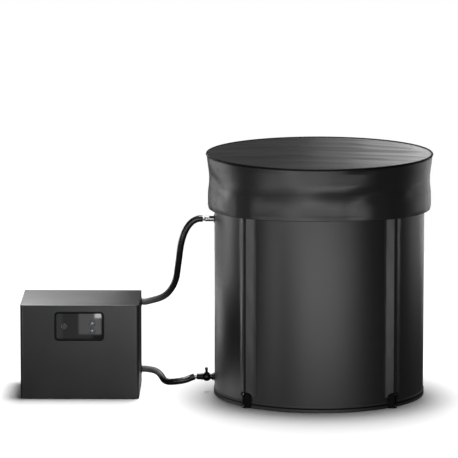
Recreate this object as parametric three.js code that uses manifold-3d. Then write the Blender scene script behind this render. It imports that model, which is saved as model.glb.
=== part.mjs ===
// An ice bath tub of padded fabric with a drape-over lid, joined by two hoses to a box chiller.
// Millimetres, +Z up. The origin is the centre of the tub's underside, on the floor.
// The front is -Y, and the chiller stands to the left, at -X.

import * as THREE from 'three';
import { mergeVertices } from 'three/addons/utils/BufferGeometryUtils.js';
import Module from 'manifold-3d';

const wasm = await Module();
wasm.setup();

// Clearances that every piece shares
const seatGap = 0.3;
const runningGap = 0.3;
const cutOverrun = 5;
const cornerSteps = 2;

// Tub: wall, floor and hem
const wallRadius = 375;
const closedHeight = 869;
const skinThickness = 2.5;
const foamThickness = 9;
const linerThickness = 2.5;
const basePanelThickness = 3;
const floorFoamThickness = 10;
const hemHeight = 22;
const hemThickness = 1.5;
const hemGrooveHeight = 13.6;
const hemGrooveDepth = 0.7;
const roundSides = 48;

// Tub: air ring under the lid, with its valve
const ringTubeRadius = 36;
const ringInset = 28;
const ringCentreRadius = wallRadius - ringInset;
const ringWall = 1.5;
const ringTubeSides = 8;
const airValveRadius = 8;
const airValveFlangeRadius = 12;
const airValveFlangeThickness = 1.5;
const airValveFlangeStandoff = 1.4;
const airValveNeckRadius = 6;
const airValveNeckLength = 9;
const airValveBore = 3.5;
const airValveInnerLength = 8;
const airCapRadius = 9;
const airCapLength = 11;

// Lid
const lidOverhang = 28.5;
const lidRadius = wallRadius + lidOverhang;
const pipingRadius = 2.5;
const pipingSides = 6;
const panelSink = 0.6;
const panelThickness = 2;
const lidFoamThickness = 15;
const lidFoamInset = 7;
const liningThickness = 1.5;
const skirtThickness = 1.8;
const skirtDrop = 185;
const skirtSideDip = 13;
const skirtWaistDepth = 9.5;
const skirtPoleClearance = 1.6;
const skirtBulgeHalfAngle = 12;
const skirtBulgeGain = 1.6;
// How far down the skirt each row of its outline lies, and how far in, as shares of its drop and waist depth
const skirtOutlineShares = [
  [0, 0.1], [0.12, 0.35], [0.26, 0.72], [0.41, 1], [0.55, 0.92],
  [0.7, 0.6], [0.84, 0.58], [0.94, 0.95], [1, 1.6],
];
const skirtBulgeStartShare = 0.4;
const skirtBulgeFullShare = 0.62;

// Poles in their fabric sleeves, standing in plastic feet
const poleAngles = [-43, 43, 137, -137];
const poleRadius = 7;
const poleWall = 1.2;
const poleSides = 14;
const poleHemGap = 0.6;
const poleTopDrop = 121;
const poleTop = closedHeight - poleTopDrop;
const poleFloor = 5;
const sleeveHalfWidth = 34;
const sleeveThickness = 1.2;
const sleeveOverlap = 2;
const sleeveTop = poleTop + sleeveOverlap;
const sleeveArcSteps = 6;
const footHeight = 57;
const footHalfWidth = 22;
const footWall = 2.5;
const footShoulderRadius = 16;
const footBackGap = 1.2;
const footKnobRadius = 3;
const footKnobStand = 1.5;
const footKnobInset = 7;

// Fittings through the wall at the chiller's side
const grommetWall = 3;
const grommetFlange = 1.5;
const grommetFlangeReach = 3;
const nutThickness = 6;
const nutReach = 6;
const nutSides = 6;
const fittingInnerLength = 10;
const fittingSides = 16;
const fittingBore = 6.5;
const hoseDiameter = 22;
const returnPipeRadius = 9.5;
const returnPipeDrop = 238.5;
const returnPipeHeight = closedHeight - returnPipeDrop;
const returnPipeReach = 34;
const returnNeckRadius = 7.5;
const returnNeckLength = 7.7;
const valveHeight = 55;
const valvePipeRadius = 10;
const valvePipeReach = 14;
const valveBodyRadius = 16.3;
const valveBodyLength = 28;
const valveBarrelRadius = 11;
const valveBarrelLength = 21.5;
const valveNeckRadius = 8;
const valveNeckLength = 7.7;
const valveBallRadius = 10;
const valveBallBore = 6;
const valveArcSteps = 6;
const stemRadius = 4;
const handleHubRadius = 6;
const handleHubHeight = 6;
const handleTop = 86.5;
const handleWaist = 8;
const handleFlare = 11;
const handleLength = 27;

// Chiller case
const chillerWidth = 422.7;
const chillerDepth = 311;
const chillerHeight = 339.3;
const chillerStandoff = 267.1;
const chillerSetback = 17;
const sheetThickness = 2;
const caseCornerRadius = 12;
const railHeight = 5;
const railWidth = 24;
const railInsetX = 30;
const railInsetY = 32;
const shellFloor = 4;
const topThickness = 3;
const topSeam = 1;
const topRimDepth = 10;
const panRimHeight = 14;
const ventCount = 8;
const ventHeight = 5;
const ventLength = 130;
const ventPitch = 13;
const ventFloor = 70;
const slotWidth = 5;
const slotPitch = 11;
const slotHeight = 160;
const portRadius = 12;
const portBore = 7;
const portFlangeRadius = 17;
const portFlangeThickness = 3.5;
const portInnerLength = 18;
const portSetback = 83;
const portHeights = { upper: 310, lower: 63 };

// Window and buttons
const windowWidth = 177.8;
const windowHeight = 105.7;
const windowCornerRadius = 15;
const windowCentreX = -0.6;
const windowCentreZ = 263.8;
const frameBorder = 6.6;
const frameRecess = 0.8;
const frameDepth = 12;
const frameFlangeReach = 7;
const frameFlangeThickness = 2;
const glassThickness = 3;
const glassRecess = 1.2;
const powerButton = { name: 'power_button', radius: 11.3, x: -54.8, z: 261.4 };
const upButton = { name: 'up_button', radius: 10.7, x: 45.9, z: 275 };
const downButton = { name: 'down_button', radius: 10.7, x: 45.9, z: 248 };
const buttonStand = 0.6;
const buttonFlangeReach = 1.2;
const buttonFlangeThickness = 1.5;
const buttonTravel = 1.5;
const buttonSides = 20;
const boardThickness = 1.6;
const boardReach = 4;
const switchSize = 6;
const chipWidth = 30;
const chipHeight = 16;
const chipThickness = 4;

// Chiller works
const compressorRadius = 48;
const compressorHeight = 165;
const compressorDome = 24;
const compressorInset = 83.35;
const compressorX = compressorInset - chillerWidth / 2;
const compressorY = -62;
const compressorPlateSize = 120;
const compressorPlateThickness = 4;
const compressorPlateCorner = 18;
const compressorSides = 18;
const compressorDomeSteps = 6;
const condenserInset = 25.35;
const pumpSideRoom = 221.35;
const condenserWidth = chillerWidth - condenserInset - pumpSideRoom;
const condenserDepth = 34;
const condenserHeight = 190;
const condenserX = condenserInset + condenserWidth / 2 - chillerWidth / 2;
const slotMargin = 11;
const slotCount = 1 + Math.round((condenserWidth - 2 * slotMargin) / slotPitch);
const condenserY = 72;
const finCount = 18;
const finShare = 0.5;
const finSpine = 10;
const fanInset = 14;
const fanRadius = Math.min(condenserWidth, condenserHeight) / 2 - fanInset;
const fanHubRadius = 21;
const fanHubLength = 14;
const fanHeight = 112;
const fanBladeCount = 5;
const fanBladeThickness = 2;
const fanBladePitch = 32;
const fanMotorRadius = 24;
const fanMotorLength = 24;
const fanArmWidth = 12;
const fanArmThickness = 3;
const fanShaftRadius = 3;
const fanShaftLength = 16;
const rotorSides = 18;
const exchangerWidth = 84;
const exchangerDepth = 62;
const exchangerHeight = 186;
const pumpInset = 93.35;
const pumpX = chillerWidth / 2 - pumpInset;
const exchangerGapShare = 1 / 3;
const exchangerRoom = pumpX - compressorX - compressorPlateSize / 2;
const exchangerGap = (exchangerRoom - exchangerWidth) * exchangerGapShare;
const exchangerX = pumpX - exchangerRoom + exchangerGap + exchangerWidth / 2;
const exchangerY = -52;
const exchangerPlates = 10;
const exchangerGroove = 2.5;
const exchangerPortHeight = 150;
const pumpMotorRadius = 31;
const pumpMotorLength = 62;
const pumpVoluteRadius = 40;
const pumpVoluteLength = 34;
const pumpWall = 4;
const pumpInletRadius = 10;
const pumpOutletHeight = 16;
const pumpOutletSetback = 17;
const pumpFootWidth = 50;
const pumpFootOverlap = 12;
const impellerRadius = 30;
const impellerDisc = 3;
const impellerVaneHeight = 12;
const impellerVaneThickness = 2.5;
const impellerVanes = 6;
const impellerHubRadius = 9;
const spindleRadius = 4;
const lineRadius = 9;
const lineStubLength = 14;
const lineSides = 8;
const lineSteps = 10;
// Where each water line's middle points lie between its ends, as shares of the way in x, y and z
const pumpLineShares = [[0.1, 0.25, 0.95], [0.3, 0.85, 1]];
const returnLineShares = [[0.2, 0.25, 0.92], [0.6, 0.8, 1]];
const inletWidth = 48;
const inletHeight = 28;
const inletFlangeThickness = 2.5;
const inletBodyDepth = 20;
const inletSocketWidth = 24;
const inletSocketHeight = 16;
const inletSocketDepth = 15;
const inletBodyBorder = 4;
const inletInset = 61.35;
const inletX = chillerWidth / 2 - inletInset;
const inletZ = 90;
const inletCorner = 4;

// Hoses, from the chiller's ports to the tub's fittings. The points are chosen by hand.
const hoseSides = 10;
const hoseSteps = 16;
const upperHoseRoute = [
  [-638.0, 100, 310], [-626, 100, 310], [-609, 98, 312.5], [-593, 93.5, 318.5], [-577.5, 87, 327.5],
  [-562, 80, 339], [-547, 73, 353], [-533, 65, 369.5], [-521, 57, 388.5], [-512.5, 48, 410],
  [-507, 40, 433], [-503, 32, 457], [-499.5, 25, 482], [-495.5, 18, 508], [-490.5, 12.5, 534],
  [-484, 8, 559], [-475.5, 4.8, 583], [-464, 2.4, 604], [-449, 0.8, 621], [-431, 0, 630.5],
  [-417.0, 0, 630.5],
];
const lowerHoseRoute = [
  [-638.0, 100, 63], [-626, 100, 63], [-611, 97, 61.5], [-598, 89.5, 58.5], [-587, 77.5, 55],
  [-578.5, 62, 52], [-571, 46, 49], [-563, 30.5, 46], [-553.5, 16.5, 43.5], [-541.5, 5, 42],
  [-527, -3.5, 41.6], [-511, -7.5, 42.6], [-494.5, -7.5, 45.2], [-478.5, -4.5, 49], [-462.5, 0, 55],
  [-446.9, 0, 55],
];

// Finishes: colour, roughness, metalness
const finishes = {
  tubFabric: [0x333436, 0.55, 0],
  linerFabric: [0x3a3b3d, 0.5, 0],
  foam: [0x8a8c8f, 0.9, 0],
  lidFabric: [0x3d3e40, 0.45, 0],
  piping: [0x0c0c0d, 0.4, 0],
  ringRubber: [0x2b2c2e, 0.5, 0],
  blackPlastic: [0x0f1011, 0.45, 0],
  blackRubber: [0x141415, 0.7, 0],
  stainless: [0xc9cbcd, 0.2, 1],
  poleAlloy: [0x9a9c9e, 0.35, 1],
  casePaint: [0x2c2d2f, 0.5, 0.2],
  zincSteel: [0x8f9396, 0.45, 0.9],
  windowGlass: [0x15171a, 0.05, 0],
  buttonPlastic: [0x16181b, 0.25, 0],
  boardGreen: [0x1f5a34, 0.5, 0],
  compressorPaint: [0x0e0e10, 0.35, 0.3],
  finAluminium: [0xb5b8ba, 0.35, 0.9],
  brazedSteel: [0xa9a7a2, 0.35, 0.9],
  hoseRubber: [0x121213, 0.35, 0],
};

// Turns a closed geometry into a solid for joining and cutting
function solidOf(geometry) {
  const bare = geometry.clone();
  bare.deleteAttribute('normal');
  bare.deleteAttribute('uv');
  const merged = mergeVertices(bare);
  const triVerts = new Uint32Array(merged.index.array);
  const vertProperties = new Float32Array(merged.attributes.position.array);
  return new wasm.Manifold(new wasm.Mesh({ numProp: 3, vertProperties, triVerts }));
}

// The geometry of a solid that was joined or cut
function geometryOf(solid) {
  const mesh = solid.getMesh();
  const geometry = new THREE.BufferGeometry();
  geometry.setAttribute('position', new THREE.BufferAttribute(new Float32Array(mesh.vertProperties), 3));
  geometry.setIndex(new THREE.BufferAttribute(new Uint32Array(mesh.triVerts), 1));
  geometry.computeVertexNormals();
  return geometry;
}

function cut(geometry, tools) {
  return geometryOf(tools.reduce((solid, tool) => solid.subtract(solidOf(tool)), solidOf(geometry)));
}

function join(geometries) {
  const solids = geometries.map(solidOf);
  return geometryOf(solids.reduce((joined, solid) => joined.add(solid)));
}

// Six times the volume, negative where the faces point in
function signedVolume(geometry) {
  const position = geometry.attributes.position;
  const index = geometry.index.array;
  const corners = [new THREE.Vector3(), new THREE.Vector3(), new THREE.Vector3()];
  let total = 0;
  for (let start = 0; start < index.length; start += 3) {
    corners.forEach((corner, offset) => corner.fromBufferAttribute(position, index[start + offset]));
    total += corners[0].dot(corners[1].cross(corners[2]));
  }
  return total;
}

// Swaps each face's corners where the faces point in
function facingOut(geometry) {
  if (signedVolume(geometry) < 0) {
    const index = geometry.index.array;
    for (let start = 0; start < index.length; start += 3) {
      [index[start], index[start + 1]] = [index[start + 1], index[start]];
    }
    geometry.computeVertexNormals();
  }
  return geometry;
}

// A turned piece from a profile of [radius, place along the axis] pairs, about 'z', 'x' or 'y'
function turned(profile, sides, axis = 'z') {
  const onAxis = profile[0][0] === 0;
  const ring = onAxis ? profile : [...profile, profile[0]];
  const points = ring.map(([radius, along]) => new THREE.Vector2(radius, along));
  const geometry = new THREE.LatheGeometry(points, sides);
  geometry.rotateX(Math.PI / 2);
  if (axis === 'x') {
    geometry.rotateY(Math.PI / 2);
  }
  if (axis === 'y') {
    geometry.rotateX(-Math.PI / 2);
  }
  return facingOut(geometry);
}

// A plain ring: inner and outer radius, and the two ends of its length
function ringOf(inner, outer, low, high, sides, axis = 'z') {
  return turned([[inner, low], [outer, low], [outer, high], [inner, high]], sides, axis);
}

// A plain disc or rod
function rodOf(radius, low, high, sides, axis = 'z') {
  return turned([[0, low], [radius, low], [radius, high], [0, high]], sides, axis);
}

function boxBetween(low, high) {
  const size = high.map((value, i) => value - low[i]);
  const geometry = new THREE.BoxGeometry(...size);
  geometry.translate(...low.map((value, i) => value + size[i] / 2));
  return geometry;
}

function roundedRectangle(width, height, radius, x = 0, y = 0) {
  const shape = new THREE.Shape();
  const right = x + width / 2 - radius;
  const left = x - width / 2 + radius;
  const top = y + height / 2 - radius;
  const bottom = y - height / 2 + radius;
  shape.absarc(right, top, radius, 0, Math.PI / 2);
  shape.absarc(left, top, radius, Math.PI / 2, Math.PI);
  shape.absarc(left, bottom, radius, Math.PI, Math.PI * 1.5);
  shape.absarc(right, bottom, radius, Math.PI * 1.5, Math.PI * 2);
  shape.closePath();
  return shape;
}

// An outline on the floor plan, raised from low to high
function raised(shape, low, high) {
  const options = { depth: high - low, bevelEnabled: false, curveSegments: cornerSteps };
  const geometry = new THREE.ExtrudeGeometry(shape, options);
  geometry.translate(0, 0, low);
  return geometry;
}

// An outline seen from the front, x across and z up, that runs from front to back along Y
function faced(shape, front, back) {
  const options = { depth: back - front, bevelEnabled: false, curveSegments: cornerSteps };
  const geometry = new THREE.ExtrudeGeometry(shape, options);
  geometry.rotateX(Math.PI / 2);
  geometry.translate(0, back, 0);
  return geometry;
}

function shapeOf(points) {
  return new THREE.Shape(points.map(([x, y]) => new THREE.Vector2(x, y)));
}

// A tube of even section along a smooth curve through the route's points
function tubeAlong(route, radius, sides, steps) {
  const points = route.map((point) => new THREE.Vector3(...point));
  const curve = new THREE.CatmullRomCurve3(points, false, 'centripetal');
  const angles = Array.from({ length: sides }, (_, i) => (2 * Math.PI * i) / sides);
  const section = shapeOf(angles.map((angle) => [radius * Math.cos(angle), radius * Math.sin(angle)]));
  return new THREE.ExtrudeGeometry(section, { steps, extrudePath: curve });
}

// A point on the tub's plan: an angle in radians from the front, to the right, and a radius
function onPlan(angle, radius) {
  return [radius * Math.sin(angle), -radius * Math.cos(angle)];
}

function named(name, geometry, finish) {
  const [color, roughness, metalness] = finishes[finish];
  const mesh = new THREE.Mesh(geometry, new THREE.MeshStandardMaterial({ color, roughness, metalness }));
  mesh.name = name;
  return mesh;
}

function smoothRise(low, high, value) {
  const share = Math.min(1, Math.max(0, (value - low) / (high - low)));
  return share * share * (3 - 2 * share);
}

// Heights that follow from the lid's stack, from the top down
const panelTop = closedHeight - panelSink;
const panelBottom = panelTop - panelThickness;
const lidFoamTop = panelBottom - seatGap;
const lidFoamBottom = lidFoamTop - lidFoamThickness;
const liningTop = lidFoamBottom - seatGap;
const liningBottom = liningTop - liningThickness;
const ringApothem = ringTubeRadius * Math.cos(Math.PI / ringTubeSides);
const ringHalfFlat = ringTubeRadius * Math.sin(Math.PI / ringTubeSides);
const ringHeight = liningBottom - seatGap - ringApothem;

// The underside of the air ring over a place on the wall
function ringUnderside(radius) {
  return ringHeight - ringApothem + Math.max(0, radius - ringCentreRadius - ringHalfFlat);
}

// Radii and heights that follow from the wall's layers, from the outside in
const skinInner = wallRadius - skinThickness;
const foamOuter = skinInner - seatGap;
const foamInner = foamOuter - foamThickness;
const linerOuter = foamInner - seatGap;
const linerInner = linerOuter - linerThickness;
const wallFloor = basePanelThickness + seatGap;
const linerFloor = wallFloor + floorFoamThickness + seatGap;
const hemOuter = wallRadius + seatGap + hemThickness;
const poleCentreRadius = hemOuter + poleHemGap + poleRadius;
const sleeveInnerRound = poleRadius + runningGap;
const sleeveOuterRound = sleeveInnerRound + sleeveThickness;
const sleeveReach = poleCentreRadius + sleeveOuterRound;
const returnPipeEnd = wallRadius + returnPipeReach + returnNeckLength;

// A round hole through every layer of the wall, at the chiller's side
function wallHole(height, radius) {
  const hole = rodOf(radius, -wallRadius - cutOverrun, -linerInner + cutOverrun, fittingSides, 'x');
  hole.translate(0, 0, height);
  return hole;
}

const returnHole = returnPipeRadius + runningGap + grommetWall + seatGap;
const valveHole = valvePipeRadius + runningGap + grommetWall + seatGap;

// Wall, floor and hem
function tubBody() {
  const group = new THREE.Group();
  const holes = [wallHole(returnPipeHeight, returnHole), wallHole(valveHeight, valveHole)];
  const base = rodOf(wallRadius, 0, basePanelThickness, roundSides);
  const floorFoam = rodOf(foamOuter, wallFloor, wallFloor + floorFoamThickness, roundSides);
  const skin = ringOf(skinInner, wallRadius, wallFloor, ringUnderside(skinInner) - seatGap, roundSides);
  const foam = ringOf(foamInner, foamOuter, linerFloor, ringUnderside(foamInner) - seatGap, roundSides);
  const linerTop = ringUnderside(linerInner) - seatGap;
  const liner = turned([
    [0, linerFloor], [linerOuter, linerFloor], [linerOuter, linerTop],
    [linerInner, linerTop], [linerInner, linerFloor + linerThickness], [0, linerFloor + linerThickness],
  ], roundSides);
  const hemInner = wallRadius + seatGap;
  const hem = turned([
    [hemInner, 0], [hemOuter, 0], [hemOuter, hemGrooveHeight - hemGrooveDepth],
    [hemOuter - hemGrooveDepth, hemGrooveHeight], [hemOuter, hemGrooveHeight + hemGrooveDepth],
    [hemOuter, hemHeight], [hemInner, hemHeight],
  ], roundSides);
  group.add(named('base_panel', base, 'blackRubber'));
  group.add(named('floor_foam', floorFoam, 'foam'));
  group.add(named('outer_wall', cut(skin, holes), 'tubFabric'));
  group.add(named('wall_foam', cut(foam, holes), 'foam'));
  group.add(named('inner_liner', cut(liner, holes), 'linerFabric'));
  group.add(named('bottom_hem', hem, 'tubFabric'));
  return group;
}

// The air ring is a hollow tube of flat-sided section, with a valve on its inner side at the back
function airRing() {
  const group = new THREE.Group();
  const section = (radius) => Array.from({ length: ringTubeSides }, (_, i) => {
    const angle = (Math.PI * (2 * i + 1)) / ringTubeSides;
    return [ringCentreRadius + radius * Math.cos(angle), ringHeight + radius * Math.sin(angle)];
  });
  const outer = turned(section(ringTubeRadius), roundSides);
  const inner = turned(section(ringTubeRadius - ringWall), roundSides);
  const innerSide = ringCentreRadius - ringApothem;
  const flangeBack = innerSide - airValveFlangeStandoff;
  const flangeFront = flangeBack - airValveFlangeThickness;
  const neckEnd = flangeFront - airValveNeckLength;
  const bodyEnd = innerSide + airValveInnerLength;
  const hole = rodOf(airValveRadius + seatGap, innerSide - cutOverrun, bodyEnd, fittingSides, 'y');
  hole.translate(0, 0, ringHeight);
  const valve = turned([
    [airValveBore, neckEnd], [airValveNeckRadius, neckEnd], [airValveNeckRadius, flangeFront],
    [airValveFlangeRadius, flangeFront], [airValveFlangeRadius, flangeBack], [airValveRadius, flangeBack],
    [airValveRadius, bodyEnd], [airValveBore, bodyEnd],
  ], fittingSides, 'y');
  const capFront = flangeFront - seatGap - airCapLength;
  const capBore = airValveNeckRadius + runningGap;
  const cap = turned([
    [0, capFront], [airCapRadius, capFront], [airCapRadius, flangeFront - seatGap],
    [capBore, flangeFront - seatGap], [capBore, neckEnd - seatGap], [0, neckEnd - seatGap],
  ], fittingSides, 'y');
  const valveMesh = named('air_valve', valve, 'blackPlastic');
  const capMesh = named('air_valve_cap', cap, 'blackPlastic');
  valveMesh.position.z = ringHeight;
  capMesh.position.z = ringHeight;
  group.add(named('air_ring', cut(outer, [inner, hole]), 'ringRubber'), valveMesh, capMesh);
  return group;
}

// How full the skirt stands out at a pole: 1 beside the pole, fading to 0
function poleBulge(angle) {
  return Math.max(...poleAngles.map((poleAngle) => {
    const apart = Math.abs(THREE.MathUtils.euclideanModulo(angle - poleAngle + 180, 360) - 180);
    const share = Math.min(1, apart / skirtBulgeHalfAngle);
    return Math.min(1, skirtBulgeGain * Math.cos((share * Math.PI) / 2) ** 2);
  }));
}

// The skirt: a closed sheet whose rows follow the outline, drawn in at the waist and at the hem,
// with its hem lower at the sides than at the front, and held out where it passes over the poles
function skirtGeometry() {
  const top = closedHeight - 2 * pipingRadius - seatGap;
  const clearRadius = sleeveReach + skirtPoleClearance + skirtThickness;
  const positions = [];
  for (const thickness of [0, skirtThickness]) {
    for (const [downShare, inShare] of skirtOutlineShares) {
      for (let side = 0; side < roundSides; side += 1) {
        const degrees = (360 * side) / roundSides;
        const angle = THREE.MathUtils.degToRad(degrees);
        const hem = closedHeight - skirtDrop - skirtSideDip * Math.sin(angle) ** 2;
        const outline = lidRadius - skirtWaistDepth * inShare;
        const weight = poleBulge(degrees) * smoothRise(skirtBulgeStartShare, skirtBulgeFullShare, downShare);
        const radius = outline + weight * Math.max(0, clearRadius - outline);
        positions.push(...onPlan(angle, radius - thickness), top + (hem - top) * downShare);
      }
    }
  }
  const rows = skirtOutlineShares.length;
  const at = (layer, row, side) => (layer * rows + row) * roundSides + (side % roundSides);
  const index = [];
  const quad = (a, b, c, d) => index.push(a, b, c, a, c, d);
  for (let side = 0; side < roundSides; side += 1) {
    for (let row = 0; row < rows - 1; row += 1) {
      quad(at(0, row, side), at(0, row + 1, side), at(0, row + 1, side + 1), at(0, row, side + 1));
      quad(at(1, row, side + 1), at(1, row + 1, side + 1), at(1, row + 1, side), at(1, row, side));
    }
    quad(at(1, 0, side), at(0, 0, side), at(0, 0, side + 1), at(1, 0, side + 1));
    quad(at(0, rows - 1, side), at(1, rows - 1, side), at(1, rows - 1, side + 1), at(0, rows - 1, side + 1));
  }
  const geometry = new THREE.BufferGeometry();
  geometry.setAttribute('position', new THREE.Float32BufferAttribute(positions, 3));
  geometry.setIndex(index);
  geometry.computeVertexNormals();
  return facingOut(geometry);
}

// The lid: panel, piping, foam, lining and skirt
function lid() {
  const group = new THREE.Group();
  const pipingCentre = lidRadius - pipingRadius;
  const piping = turned(Array.from({ length: pipingSides }, (_, i) => {
    const angle = (2 * Math.PI * i) / pipingSides;
    const radius = pipingRadius;
    return [pipingCentre + radius * Math.cos(angle), closedHeight - pipingRadius + radius * Math.sin(angle)];
  }), roundSides);
  const panelRadius = pipingCentre - pipingRadius - seatGap;
  const foamRadius = panelRadius - lidFoamInset;
  group.add(named('lid_panel', rodOf(panelRadius, panelBottom, panelTop, roundSides), 'lidFabric'));
  group.add(named('lid_piping', piping, 'piping'));
  group.add(named('lid_foam', rodOf(foamRadius, lidFoamBottom, lidFoamTop, roundSides), 'foam'));
  group.add(named('lid_lining', rodOf(foamRadius, liningBottom, liningTop, roundSides), 'linerFabric'));
  group.add(named('lid_skirt', skirtGeometry(), 'lidFabric'));
  return group;
}

// Half of a tent's outline over the pole: from its foot on the wall up to the middle of the round top.
// Places are [distance round the wall, distance out from the wall].
function tentHalf(halfWidth, round, height) {
  const away = Math.hypot(halfWidth, height);
  const tangent = Math.atan2(-height, halfWidth) + Math.acos(round / away);
  const points = [[halfWidth, 0]];
  for (let step = 0; step <= sleeveArcSteps / 2; step += 1) {
    const angle = tangent + ((Math.PI / 2 - tangent) * step) / (sleeveArcSteps / 2);
    points.push([round * Math.cos(angle), height + round * Math.sin(angle)]);
  }
  return { points, slope: Math.PI / 2 - tangent };
}

// Mirrors half an outline and bends it round the tub, about a pole at the front
function bentOutline(half, base) {
  const mirrored = half.slice(0, -1).reverse().map(([across, out]) => [-across, out]);
  return [...half, ...mirrored].map(([across, out]) => onPlan(across / base, base + out));
}

// A sleeve of fabric that runs over the pole like a tent and is sewn to the wall on both sides
function poleSleeve() {
  const base = wallRadius + seatGap;
  const height = poleCentreRadius - base;
  const outer = tentHalf(sleeveHalfWidth, sleeveOuterRound, height);
  const inset = sleeveThickness / Math.sin(outer.slope);
  const inner = tentHalf(sleeveHalfWidth - inset, sleeveInnerRound, height);
  const outline = [...bentOutline(outer.points, base), ...bentOutline(inner.points, base).reverse()];
  return raised(shapeOf(outline), footHeight + seatGap, sleeveTop);
}

// A moulded foot: a tent with rounded shoulders, bored for the pole, with two pegs on its ridge
function poleFoot() {
  const base = hemOuter + footBackGap;
  const height = poleCentreRadius - base;
  const round = poleRadius + runningGap + footWall;
  const outline = bentOutline(tentHalf(footHalfWidth, round, height).points, base);
  const block = raised(shapeOf(outline), 0, footHeight);
  const shoulderAcross = footHalfWidth - footShoulderRadius;
  const shoulderHeight = footHeight - footShoulderRadius;
  const shoulders = new THREE.Shape();
  shoulders.moveTo(-footHalfWidth - cutOverrun, -cutOverrun);
  shoulders.lineTo(footHalfWidth + cutOverrun, -cutOverrun);
  shoulders.lineTo(footHalfWidth + cutOverrun, 0);
  shoulders.lineTo(footHalfWidth, shoulderHeight);
  shoulders.absarc(shoulderAcross, shoulderHeight, footShoulderRadius, 0, Math.PI / 2);
  shoulders.absarc(-shoulderAcross, shoulderHeight, footShoulderRadius, Math.PI / 2, Math.PI);
  shoulders.lineTo(-footHalfWidth - cutOverrun, 0);
  shoulders.closePath();
  const ridge = poleCentreRadius + round;
  const arch = faced(shoulders, -ridge - cutOverrun, -base + cutOverrun);
  const bore = rodOf(poleRadius + runningGap, poleFloor - seatGap, footHeight + cutOverrun, poleSides);
  bore.translate(0, -poleCentreRadius, 0);
  const pegs = [footKnobInset, footHeight - footKnobInset].map((z) => {
    const peg = rodOf(footKnobRadius, -ridge - footKnobStand, -ridge + footWall / 2, fittingSides, 'y');
    peg.translate(0, 0, z);
    return peg;
  });
  const body = solidOf(block).intersect(solidOf(arch)).subtract(solidOf(bore));
  return geometryOf(pegs.reduce((solid, peg) => solid.add(solidOf(peg)), body));
}

// Four poles, each with its sleeve and foot, turned to their places round the tub
function poles() {
  const group = new THREE.Group();
  poleAngles.forEach((angle, i) => {
    const station = new THREE.Group();
    station.rotation.z = THREE.MathUtils.degToRad(angle);
    const tube = ringOf(poleRadius - poleWall, poleRadius, poleFloor, poleTop, poleSides);
    const pole = named(`pole_${i + 1}`, tube, 'poleAlloy');
    pole.position.y = -poleCentreRadius;
    station.add(pole);
    station.add(named(`pole_sleeve_${i + 1}`, poleSleeve(), 'tubFabric'));
    station.add(named(`pole_foot_${i + 1}`, poleFoot(), 'blackPlastic'));
    group.add(station);
  });
  return group;
}

// A grommet in the wall and a lock nut on the liner, for a pipe of the given radius
function wallSeal(prefix, pipeRadius) {
  const group = new THREE.Group();
  const bore = pipeRadius + runningGap;
  const sleeve = bore + grommetWall;
  const outside = -wallRadius - seatGap;
  const inside = -linerInner * Math.cos(Math.PI / roundSides) + seatGap + grommetFlange;
  const grommet = turned([
    [bore, outside - grommetFlange], [sleeve + grommetFlangeReach, outside - grommetFlange],
    [sleeve + grommetFlangeReach, outside], [sleeve, outside], [sleeve, inside], [bore, inside],
  ], fittingSides, 'x');
  const nutStart = inside + seatGap;
  const nutEnd = nutStart + nutThickness;
  const pipeClear = rodOf(bore, nutStart - cutOverrun, nutEnd + cutOverrun, fittingSides, 'x');
  const hexagon = rodOf(bore + nutReach, nutStart, nutEnd, nutSides, 'x');
  group.add(named(`${prefix}_grommet`, grommet, 'blackRubber'));
  group.add(named(`${prefix}_nut`, cut(hexagon, [pipeClear]), 'blackPlastic'));
  return group;
}

// The stainless return pipe near the top of the wall
function returnFitting() {
  const group = wallSeal('return', returnPipeRadius);
  const shoulder = -wallRadius - returnPipeReach;
  const pipe = turned([
    [fittingBore, -returnPipeEnd], [returnNeckRadius, -returnPipeEnd], [returnNeckRadius, shoulder],
    [returnPipeRadius, shoulder + (returnPipeRadius - returnNeckRadius)],
    [returnPipeRadius, -linerInner + fittingInnerLength], [fittingBore, -linerInner + fittingInnerLength],
  ], fittingSides, 'x');
  group.add(named('return_pipe', pipe, 'stainless'));
  group.position.z = returnPipeHeight;
  return group;
}

// Points of an arc in a turned profile, from one angle to another, about a place on the axis
function profileArc(radius, centre, from, to) {
  return Array.from({ length: valveArcSteps + 1 }, (_, i) => {
    const angle = from + ((to - from) * i) / valveArcSteps;
    return [radius * Math.sin(angle), centre + radius * Math.cos(angle)];
  });
}

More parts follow.
